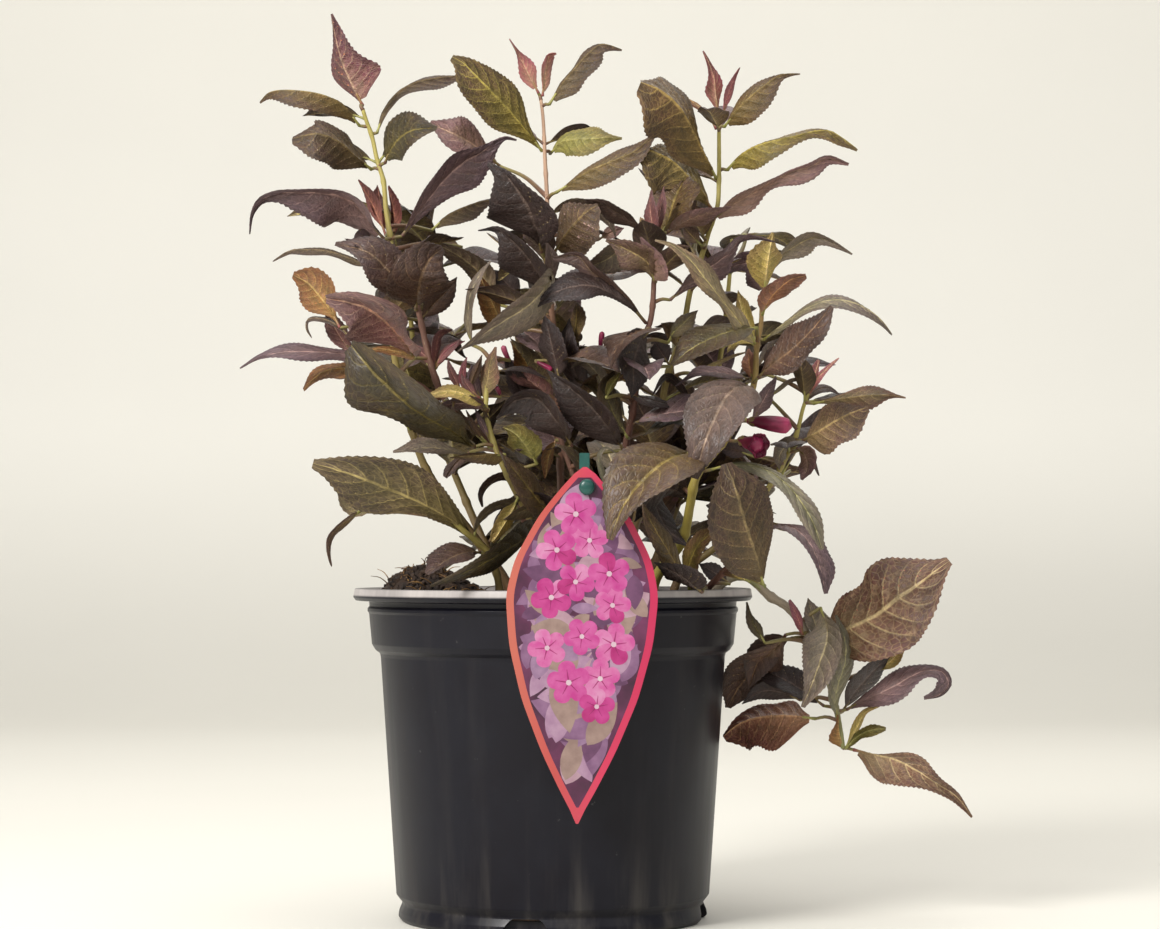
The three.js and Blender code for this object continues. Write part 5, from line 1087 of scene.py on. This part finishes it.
for q in range(4):
    a = math.radians(ARCH_AT + 90 * q)
    o, t = np.array([math.cos(a), math.sin(a), 0]), np.array([-math.sin(a), math.cos(a), 0])
    prof = [(-ARCH_FOOT / 2, -2), (ARCH_FOOT / 2, -2), (ARCH_TOP / 2 + 1.6, ARCH_H - 1.0), (ARCH_TOP / 2, ARCH_H), (-ARCH_TOP / 2, ARCH_H), (-ARCH_TOP / 2 - 1.6, ARCH_H - 1.0)]
    V = [o * r_ + t * w + np.array([0, 0, h]) for r_ in (67.5, 82.0) for w, h in prof]
    k = np.arange(6)
    cut.add(V, np.stack([k, (k + 1) % 6, (k + 1) % 6 + 6, k + 6], 1))
    base = cut.n - 12
    cut.v.append(np.zeros((0, 3))); cut.f.append(np.array([[0, 5, 4, 3], [0, 3, 2, 1], [6, 7, 8, 9], [6, 9, 10, 11]]) + base); cut.uv.append(np.zeros((4, 4, 2))); cut.mi.append(np.zeros(4, int))
cutter = cut.make('arch_cutter', [], smooth=False)
import bmesh
bm = bmesh.new(); bm.from_mesh(cutter.data); bmesh.ops.recalc_face_normals(bm, faces=bm.faces); bm.to_mesh(cutter.data); bm.free()
mod = pot.modifiers.new('arches', 'BOOLEAN'); mod.operation = 'DIFFERENCE'; mod.solver = 'EXACT'; mod.object = cutter
bpy.context.view_layer.update()
dg = bpy.context.evaluated_depsgraph_get()
cutmesh = bpy.data.meshes.new_from_object(pot.evaluated_get(dg), depsgraph=dg)
pot.modifiers.clear(); old = pot.data; pot.data = cutmesh; bpy.data.meshes.remove(old)
bpy.data.objects.remove(cutter, do_unlink=True)
cutmesh.set_sharp_from_angle(angle=math.radians(32))
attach(pot, "root"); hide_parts('pot')

# ------------------------------------------------------------------ potting soil
def soil_material():
    k = Nodes("soil_peat")
    co = k.new("TexCoord").outputs["Object"]
    n1 = k.noise(co, 90.0, 5.0, 0.65); n2 = k.noise(co, 420.0, 4.0, 0.6)
    base = k.ramp(n1, [(0.3, '#140e0a'), (0.5, '#2a1c13'), (0.68, '#43301f')])
    base = k.mix(k.smooth(n2, 0.62, 0.72, 0.0, 0.7), base, '#6a5236')
    return k.done(base, k.line(n2, 0.3, 0.7, 0.78, 0.95), k.bump(n2, 0.7, 0.0008))
soil_mat = soil_material()
def soil_height(x, y):
    h = 149.5 + 17 * np.exp(-((x + 60) ** 2 + (y + 18) ** 2) / (2 * 17.0 ** 2))
    r = np.hypot(x, y)
    return h - 4.0 * np.clip((r - 76) / 9, 0, 1) ** 2
def lumps(x, y):
    return np.array([noise.fractal(Vector((a * 0.11, b * 0.11, 3.3)), 1.0, 2.2, 5) for a, b in zip(x.ravel(), y.ravel())]).reshape(x.shape)
nr, na = 46, 150
rr = np.concatenate([[0.0], np.linspace(1.6, 85.2, nr)]); aa = np.linspace(0, 2 * math.pi, na, endpoint=False)
X, Y = rr[1:, None] * np.cos(aa), rr[1:, None] * np.sin(aa)
Z = soil_height(X, Y) + 1.9 * lumps(X, Y)
V = [np.array([[0, 0, 149.5]]), np.stack([X, Y, Z], -1).reshape(-1, 3)]
sidez = [(84.2, 143.5), (83.0, 131.0), (79.0, 123.8), (71.9, 13.4), (69.4, 7.0)]
for r_, z_ in sidez: V.append(np.stack([r_ * np.cos(aa), r_ * np.sin(aa), np.full(na, z_)], 1))
V.append(np.array([[0, 0, 7.0]]))
V = np.vstack(V)
F = grid_faces(nr + len(sidez), na, close=True) + 1
k = np.arange(na); last = 1 + (nr + len(sidez) - 1) * na
caps = np.vstack([np.stack([np.zeros(na, int), 1 + k, 1 + (k + 1) % na], 1), np.stack([np.full(na, len(V) - 1), last + (k + 1) % na, last + k], 1)])
sh = Shell(); sh.add(V, F[:, ::-1])
sh.v.append(np.zeros((0, 3))); sh.f.append(caps); sh.uv.append(np.zeros((len(caps), 3, 2))); sh.mi.append(np.zeros(len(caps), int))
soil = sh.make('soil_heap', [soil_mat], uvname="UVMap", sharp=60)
bm = bmesh.new(); bm.from_mesh(soil.data); bmesh.ops.recalc_face_normals(bm, faces=bm.faces); bm.to_mesh(soil.data); bm.free()
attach(soil, "root"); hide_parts('root_ball')

# crumbs and fibres lying on it
crumb, fibre = Shell(), Shell()
ico = np.array([[0, 0, 1], [0.894, 0, 0.447], [0.276, 0.851, 0.447], [-0.724, 0.526, 0.447], [-0.724, -0.526, 0.447], [0.276, -0.851, 0.447],
                [0.724, 0.526, -0.447], [-0.276, 0.851, -0.447], [-0.894, 0, -0.447], [-0.276, -0.851, -0.447], [0.724, -0.526, -0.447], [0, 0, -1]])
icof = np.array([[0, 1, 2], [0, 2, 3], [0, 3, 4], [0, 4, 5], [0, 5, 1], [1, 6, 2], [2, 7, 3], [3, 8, 4], [4, 9, 5], [5, 10, 1],
                 [6, 7, 2], [7, 8, 3], [8, 9, 4], [9, 10, 5], [10, 6, 1], [11, 7, 6], [11, 8, 7], [11, 9, 8], [11, 10, 9], [11, 6, 10]])
for i in range(900):
    heap = rng.random() < 0.45
    if heap: x, y = -58 + 15 * rng.standard_normal(), -24 + 15 * rng.standard_normal()
    else: q, t = 83 * math.sqrt(rng.random()), rng.uniform(0, 2 * math.pi); x, y = q * math.cos(t), q * math.sin(t)
    if math.hypot(x, y) > 83.5: continue
    s = rng.uniform(0.5, 1.9) * (1.3 if heap else 1.0)
    v = ico * s * rng.uniform(0.6, 1.3, (12, 1)) * rng.uniform(0.6, 1.2, 3)
    z = float(soil_height(np.array(x), np.array(y))) + rng.uniform(-0.2, 0.9)
    crumb.add(v + [x, y, z], icof)
for i in range(150):
    heap = rng.random() < 0.5
    if heap: x, y = -58 + 14 * rng.standard_normal(), -26 + 14 * rng.standard_normal()
    else: q, t = 80 * math.sqrt(rng.random()), rng.uniform(0, 2 * math.pi); x, y = q * math.cos(t), q * math.sin(t)
    if math.hypot(x, y) > 80: continue
    l = rng.uniform(4, 13); t = rng.uniform(0, 2 * math.pi); z = float(soil_height(np.array(x), np.array(y))) + 0.8
    d = np.array([math.cos(t), math.sin(t), rng.uniform(-0.1, 0.45)])
    pts = [np.array([x, y, z]) + d * l * q + np.array([0, 0, 1]) * l * 0.12 * math.sin(q * 3) for q in (0, 0.5, 1)]
    P, _ = smooth_path(pts, 7)
    add_tube(fibre, P, np.linspace(0.32, 0.12, 7), 5)
ob = crumb.make('soil_crumbs', [soil_mat], uvname="UVMap", sharp=50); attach(ob, "root")
def fibre_material():
    k = Nodes("soil_fibre"); co = k.new("TexCoord").outputs["Object"]; n = k.noise(co, 120.0, 2.0)
    return k.done(k.ramp(n, [(0.35, '#5a3d22'), (0.65, '#a07a48')]), k.line(n, 0.3, 0.7, 0.7, 0.85))
ob = fibre.make('soil_fibres', [fibre_material()], uvname="UVMap"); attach(ob, "root")

# ------------------------------------------------------------------ label card
L_BOT, L_TOP, L_Y, L_T = np.array([11.6, 53.6]), np.array([15.1, 211.7]), -98.7, 0.9
HALFW = np.array([[0, 0.4], [0.03, 2.4], [0.08, 7], [0.2, 16.5], [0.35, 26], [0.5, 32], [0.64, 34], [0.74, 30.5], [0.865, 20], [0.94, 10.5], [0.985, 4.6], [1.0, 0.6]])
HOLE = np.array([16.0, 202.8, 3.3])
def card_outline(inset=0.0, n=54):
    """Closed outline of the card; an inset ring keeps clear of both points."""
    s = np.linspace(0, 1, n)
    w = np.interp(s, HALFW[:, 0], HALFW[:, 1])
    ker = np.array([1, 2, 3, 2, 1]) / 9.0
    w = np.convolve(np.concatenate([[w[0]] * 2, w, [w[-1]] * 2]), ker, 'valid'); w[0], w[-1] = 0.5, 0.8
    si = 2.3 * inset / 158 + s * (1 - 3.8 * inset / 158)
    wi = np.interp(si, s, w) - inset * 1.08
    wi = np.maximum(wi, 0.25) if inset else w
    c = L_BOT[None] + (L_TOP - L_BOT)[None] * si[:, None]
    return np.vstack([np.stack([c[:, 0] + wi, c[:, 1]], 1), np.stack([c[:, 0] - wi, c[:, 1]], 1)[::-1]])
def card_material(kind):
    k = Nodes("label_" + kind)
    co = k.new("TexCoord").outputs["Object"]
    sep = k.new("SeparateXYZ"); k.plug(co, sep.inputs[0])
    n = k.noise(co, 55.0, 3.0, 0.6)
    if kind == 'border':
        g = k.math('ADD', k.line(sep.outputs[0], -0.018, 0.045), k.math('MULTIPLY', k.math('SUBTRACT', n, 0.5), 0.2))
        base = k.ramp(g, [(0.0, '#ab594a'), (0.3, '#a8433f'), (0.6, '#b52e4d'), (1.0, '#ab1f49')])
    elif kind == 'ground':
        base = k.ramp(n, [(0.3, '#2c1224'), (0.5, '#481a38'), (0.7, '#63284c')])
    elif kind == 'edge':
        base = k.ramp(n, [(0.3, '#cfcac2'), (0.7, '#dedad2')])
    return k.done(base, k.line(n, 0.3, 0.7, 0.30, 0.40), Specular_IOR_Level=0.5)
card = Shell()
rings = [card_outline(0.0), card_outline(0.7), card_outline(3.1)]
nn = len(rings[0])
# border ring, then the middle filled as strips across, front and back, with the peg hole cut afterwards
front = [np.stack([q[:, 0], np.full(nn, L_Y - L_T / 2), q[:, 1]], 1) for q in rings]
back = [np.stack([rings[0][:, 0], np.full(nn, L_Y + L_T / 2), rings[0][:, 1]], 1)]
Vc = np.vstack(front + back)
j = np.arange(nn); j2 = (j + 1) % nn
def band(a, b): return np.stack([a * nn + j, a * nn + j2, b * nn + j2, b * nn + j], 1)
card.add(Vc, np.vstack([band(0, 1), band(1, 2)]), mat=0)
h2 = nn // 2; a_ = np.arange(h2 - 1)
fill = np.stack([2 * nn + a_, 2 * nn + a_ + 1, 2 * nn + nn - 2 - a_, 2 * nn + nn - 1 - a_], 1)
fill_b = np.stack([3 * nn + a_, 3 * nn + nn - 1 - a_, 3 * nn + nn - 2 - a_, 3 * nn + a_ + 1], 1)
edge = np.stack([j, 3 * nn + j, 3 * nn + j2, j2], 1)
for faces, m in ((fill, 1), (fill_b, 2), (edge, 2)):
    card.v.append(np.zeros((0, 3))); card.f.append(faces); card.uv.append(np.zeros((len(faces), 4, 2))); card.mi.append(np.full(len(faces), m, int))
cardob = card.make('label_sheet', [card_material('border'), card_material('ground'), card_material('edge')], uvname="UVMap", smooth=False)
bm = bmesh.new(); bm.from_mesh(cardob.data); bmesh.ops.recalc_face_normals(bm, faces=bm.faces); bm.to_mesh(cardob.data); bm.free()
def rod_y(x, z, stations, sides, name, mats):
    sh = Shell(); n = len(stations); a = np.linspace(0, 2 * math.pi, sides, endpoint=False)
    V = np.concatenate([np.stack([x + r_ * np.cos(a), np.full(sides, y_), z + r_ * np.sin(a)], 1) for y_, r_ in stations] + [[[x, stations[0][0], z], [x, stations[-1][0], z]]])
    F = grid_faces(n, sides, close=True); k = np.arange(sides)
    sh.add(V, F[:, ::-1])
    c = np.vstack([np.stack([np.full(sides, n * sides), k, (k + 1) % sides], 1), np.stack([np.full(sides, n * sides + 1), (n - 1) * sides + (k + 1) % sides, (n - 1) * sides + k], 1)])
    sh.v.append(np.zeros((0, 3))); sh.f.append(c); sh.uv.append(np.zeros((len(c), 3, 2))); sh.mi.append(np.zeros(len(c), int))
    ob = sh.make(name, mats, uvname="UVMap", sharp=40)
    bm = bmesh.new(); bm.from_mesh(ob.data); bmesh.ops.recalc_face_normals(bm, faces=bm.faces); bm.to_mesh(ob.data); bm.free()
    return ob
def boolean(ob, other, op='DIFFERENCE'):
    m = ob.modifiers.new('b', 'BOOLEAN'); m.operation = op; m.solver = 'EXACT'; m.object = other
    bpy.context.view_layer.update()
    dg = bpy.context.evaluated_depsgraph_get()
    me = bpy.data.meshes.new_from_object(ob.evaluated_get(dg), depsgraph=dg)
    ob.modifiers.clear(); o = ob.data; ob.data = me; bpy.data.meshes.remove(o)
    bpy.data.objects.remove(other, do_unlink=True)
boolean(cardob, rod_y(HOLE[0], HOLE[1], [(L_Y - 3, HOLE[2]), (L_Y + 3, HOLE[2])], 40, 'hole_cutter', []))
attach(cardob, "root"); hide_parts('label_card')

# printed motif: plain round-petalled blossoms and simple leaves, thin raised shapes on the card
inner_outline = card_outline(3.3)
def inside(x, z):
    o = inner_outline; res = False
    for a, b in zip(o, np.roll(o, -1, 0)):
        if (a[1] > z) != (b[1] > z) and x < (b[0] - a[0]) * (z - a[1]) / (b[1] - a[1]) + a[0]: res = not res
    return res
def chip(shell, pts2, level, mat=0):
    n = len(pts2); y0, y1 = L_Y - L_T / 2 - 0.02, L_Y - L_T / 2 - 0.05 - 0.05 * level
    V = np.vstack([[[p[0], y0, p[1]] for p in pts2], [[p[0], y1, p[1]] for p in pts2]])
    c = np.mean(pts2, axis=0); V = np.vstack([V, [c[0], y0, c[1]], [c[0], y1, c[1]]])
    k = np.arange(n); k2 = (k + 1) % n
    base = shell.n
    shell.add(V, np.stack([k, k2, k2 + n, k + n], 1), mat=mat)
    caps = np.vstack([np.stack([np.full(n, 2 * n), k2, k], 1), np.stack([np.full(n, 2 * n + 1), k + n, k2 + n], 1)]) + base
    shell.v.append(np.zeros((0, 3))); shell.f.append(caps); shell.uv.append(np.zeros((2 * n, 3, 2))); shell.mi.append(np.full(2 * n, mat, int))
def print_material(name, a, b, rough=0.34):
    k = Nodes(name); co = k.new("TexCoord").outputs["Object"]; n = k.noise(co, 160.0, 3.0, 0.6)
    return k.done(k.ramp(n, [(0.35, a), (0.65, b)]), k.line(n, 0.3, 0.7, rough, rough + 0.08))
leafprint, bloom = Shell(), Shell()
prng = np.random.default_rng(77)
ang = np.linspace(0, 2 * math.pi, 18, endpoint=False)
placed = []
def leaf_chip(x, z, l, w, a, mat, level):
    t = np.linspace(0, 1, 12); hw = w / 2 * np.sin(math.pi * t ** 0.85) ** 0.9
    loc = np.vstack([np.stack([l * (t - 0.5), hw], 1), np.stack([l * (t[::-1][1:-1] - 0.5), -hw[::-1][1:-1]], 1)])
    R = np.array([[math.cos(a), math.sin(a)], [-math.sin(a), math.cos(a)]])
    p = loc @ R + [x, z]
    if all(inside(*q) for q in p): chip(leafprint, p, level, mat); return True
for i in range(620):
    x, z = prng.uniform(-20, 47), prng.uniform(58, 208)
    low = z < 112 or z > 190
    l = prng.uniform(17, 30) if low else prng.uniform(11, 19)
    leaf_chip(x, z, l, l * prng.uniform(0.40, 0.52), prng.uniform(0, 6.28), int(prng.integers(6)), i / 620.0)
spots = []
for i in range(900):
    x, z = prng.uniform(-18, 46), prng.uniform(104, 196)
    if any(math.hypot(x - a, z - b) < 12.4 for a, b in spots) or math.hypot(x - HOLE[0], z - HOLE[1]) < 11: continue
    R = prng.uniform(7.6, 9.6); off = prng.uniform(0, 6.28)
    petals = []
    for q in range(5):
        a = off + q * 2 * math.pi / 5
        cx, cz = x + 0.53 * R * math.cos(a), z + 0.53 * R * math.sin(a)
        c_, s_ = math.cos(a), math.sin(a)
        e = np.stack([0.50 * R * np.cos(ang), 0.40 * R * np.sin(ang) * (1 + 0.25 * np.cos(ang))], 1)
        petals.append(np.stack([cx + e[:, 0] * c_ - e[:, 1] * s_, cz + e[:, 0] * s_ + e[:, 1] * c_], 1))
    if not all(inside(*p) for pt in petals for p in pt): continue
    spots.append((x, z)); m = int(prng.integers(3)); lift = 1.3 + 1.6 * len(spots) / 40.0
    for q, pt in enumerate(petals): chip(bloom, pt, lift + 0.10 * q, (m, 4, m, 5, m)[q] if prng.random() < 0.5 else m)
    for q in range(5):
        a = off + q * 2 * math.pi / 5; c_, s_ = math.cos(a), math.sin(a)
        t_ = np.array([[0.1, 0.035], [0.62, 0.012], [0.62, -0.012], [0.1, -0.035]]) * R
        chip(bloom, np.stack([x + t_[:, 0] * c_ - t_[:, 1] * s_, z + t_[:, 0] * s_ + t_[:, 1] * c_], 1)[::-1], lift + 0.75, 6)
    chip(bloom, np.stack([x + 0.13 * R * np.cos(ang), z + 0.13 * R * np.sin(ang)], 1), lift + 0.95, 3)
mats = [print_material('print_leaf_%d' % i, a, b) for i, (a, b) in enumerate([('#745774', '#896b85'), ('#87647f', '#98798e'), ('#7a635c', '#8b746b'), ('#664462', '#795674'), ('#4e2c49', '#613a59'), ('#8e6d7a', '#9e818b')])]
ob = leafprint.make('label_print_leaves', mats, uvname="UVMap", smooth=False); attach(ob, "root")
mats = [print_material('print_bloom_%d' % i, a, b) for i, (a, b) in enumerate([('#a22c74', '#af4e87'), ('#ab407f', '#b46691'), ('#981e66', '#a83678'), ('#b598a4', '#b9a8ad'), ('#b1598c', '#b6799b'), ('#90155b', '#a2296d'), ('#790a4c', '#8b175c')])]
ob = bloom.make('label_print_blossoms', mats, uvname="UVMap", smooth=False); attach(ob, "root")

# ------------------------------------------------------------------ peg
def plastic(name, a, b, rough, **kw):
    k = Nodes(name); co = k.new("TexCoord").outputs["Object"]; n = k.noise(co, 140.0, 3.0, 0.6)
    return k.done(k.ramp(n, [(0.3, a), (0.7, b)]), k.line(n, 0.3, 0.7, rough, rough + 0.1), k.bump(n, 0.1, 0.0003), **kw)
peg_mat = plastic('peg_teal', '#0d3a35', '#155048', 0.28)
peg = rod_y(HOLE[0], HOLE[1], [(L_Y - 3.5, 0.6), (L_Y - 3.4, 2.0), (L_Y - 3.0, 3.0), (L_Y - 2.3, 3.55), (L_Y - 1.4, 3.6), (L_Y - 0.9, 3.3), (L_Y - 0.75, 2.4), (-97.6, 2.4)], 36, 'label_peg_knob', [peg_mat])
strap = Shell()
def rounded_box(shell, x0, x1, y0, y1, z0, z1):
    V = np.array([[x, y, z] for z in (z0, z1) for y in (y0, y1) for x in (x0, x1)])
    shell.add(V, [[0, 2, 3, 1], [4, 5, 7, 6], [0, 1, 5, 4], [1, 3, 7, 5], [3, 2, 6, 7], [2, 0, 4, 6]])
rounded_box(strap, 12.6, 17.2, -97.95, -96.9, 150.0, 218.0)
rounded_box(strap, 12.6, 17.2, -97.6, -86.6, 157.2, 158.7)
rounded_box(strap, 12.6, 17.2, -87.8, -86.6, 154.3, 158.0)
so = strap.make('label_peg_strap', [peg_mat], uvname="UVMap", smooth=False)
bm = bmesh.new(); bm.from_mesh(so.data); bmesh.ops.bevel(bm, geom=bm.edges[:], offset=0.00022, segments=2, affect='EDGES'); bm.to_mesh(so.data); bm.free()
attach(peg, "root"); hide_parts('label_peg')
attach(so, "root")

# ------------------------------------------------------------------ studio
def stage():
    k = Nodes("studio_paper")
    co = k.new("TexCoord").outputs["Object"]
    n = k.noise(co, 3.0, 2.0)
    sep = k.new("SeparateXYZ"); k.plug(co, sep.inputs[0])
    wall = k.smooth(sep.outputs[2], 0.0, 0.35)
    low = k.ramp(n, [(0.3, '#d9d6cd'), (0.7, '#dbd8cf')]); high = k.ramp(n, [(0.3, '#faf7ee'), (0.7, '#fcf9f0')])
    mat = k.done(k.mix(wall, low, high), k.line(n, 0.3, 0.7, 0.8, 0.9))
    prof = [(-3.0, 0.0), (1.6, 0.0)]
    for q in range(1, 13):
        a = q / 12 * math.pi / 2; prof.append((1.6 + 1.0 * math.sin(a), 1.0 - 1.0 * math.cos(a)))
    prof.append((2.6, 4.0))
    V = [(x, y, z) for y, z in prof for x in (-4.0, 4.0)]
    F = [(2 * i, 2 * i + 1, 2 * i + 3, 2 * i + 2) for i in range(len(prof) - 1)]
    me = bpy.data.meshes.new("studio_floor"); me.from_pydata(V, [], F); me.update()
    me.polygons.foreach_set("use_smooth", [True] * len(F))
    ob = bpy.data.objects.new("studio_floor", me); bpy.context.scene.collection.objects.link(ob); me.materials.append(mat)
stage()
def area(name, loc, target, size, power, color=(1, 1, 1)):
    li = bpy.data.lights.new(name, 'AREA'); li.shape = 'RECTANGLE'; li.size, li.size_y = size; li.energy = power; li.color = color
    ob = bpy.data.objects.new(name, li); ob.location = loc
    ob.rotation_euler = (Vector(target) - Vector(loc)).to_track_quat('-Z', 'Y').to_euler()
    bpy.context.scene.collection.objects.link(ob)
area('key', (-0.95, -1.25, 1.15), (0.02, 0, 0.25), (0.5, 0.7), 37, (1.0, 0.985, 0.955))
area('fill', (1.3, -1.1, 0.9), (0.02, 0, 0.22), (0.6, 1.0), 2.6, (1.0, 0.985, 0.955))
area('rim', (-0.15, -1.2, 0.62), (0.0, -0.095, 0.155), (1.0, 0.07), 2.2)
area('top', (0.0, 0.15, 1.7), (0.0, 0.0, 0.2), (1.2, 1.2), 11, (1.0, 0.985, 0.955))
area('back', (0.3, 1.3, 1.3), (0, 0.0, 0.3), (1.6, 0.8), 6, (1.0, 0.985, 0.955))
area('wall_wash', (0.0, 0.9, 2.4), (0.0, 2.6, 0.7), (2.4, 0.5), 9.2, (1.0, 0.985, 0.955))
world = bpy.data.worlds.new("world"); bpy.context.scene.world = world; world.use_nodes = True
world.node_tree.nodes["Background"].inputs[0].default_value = (1, 1, 1, 1)
world.node_tree.nodes["Background"].inputs[1].default_value = 0.47
bpy.context.scene.view_settings.view_transform = 'Standard'
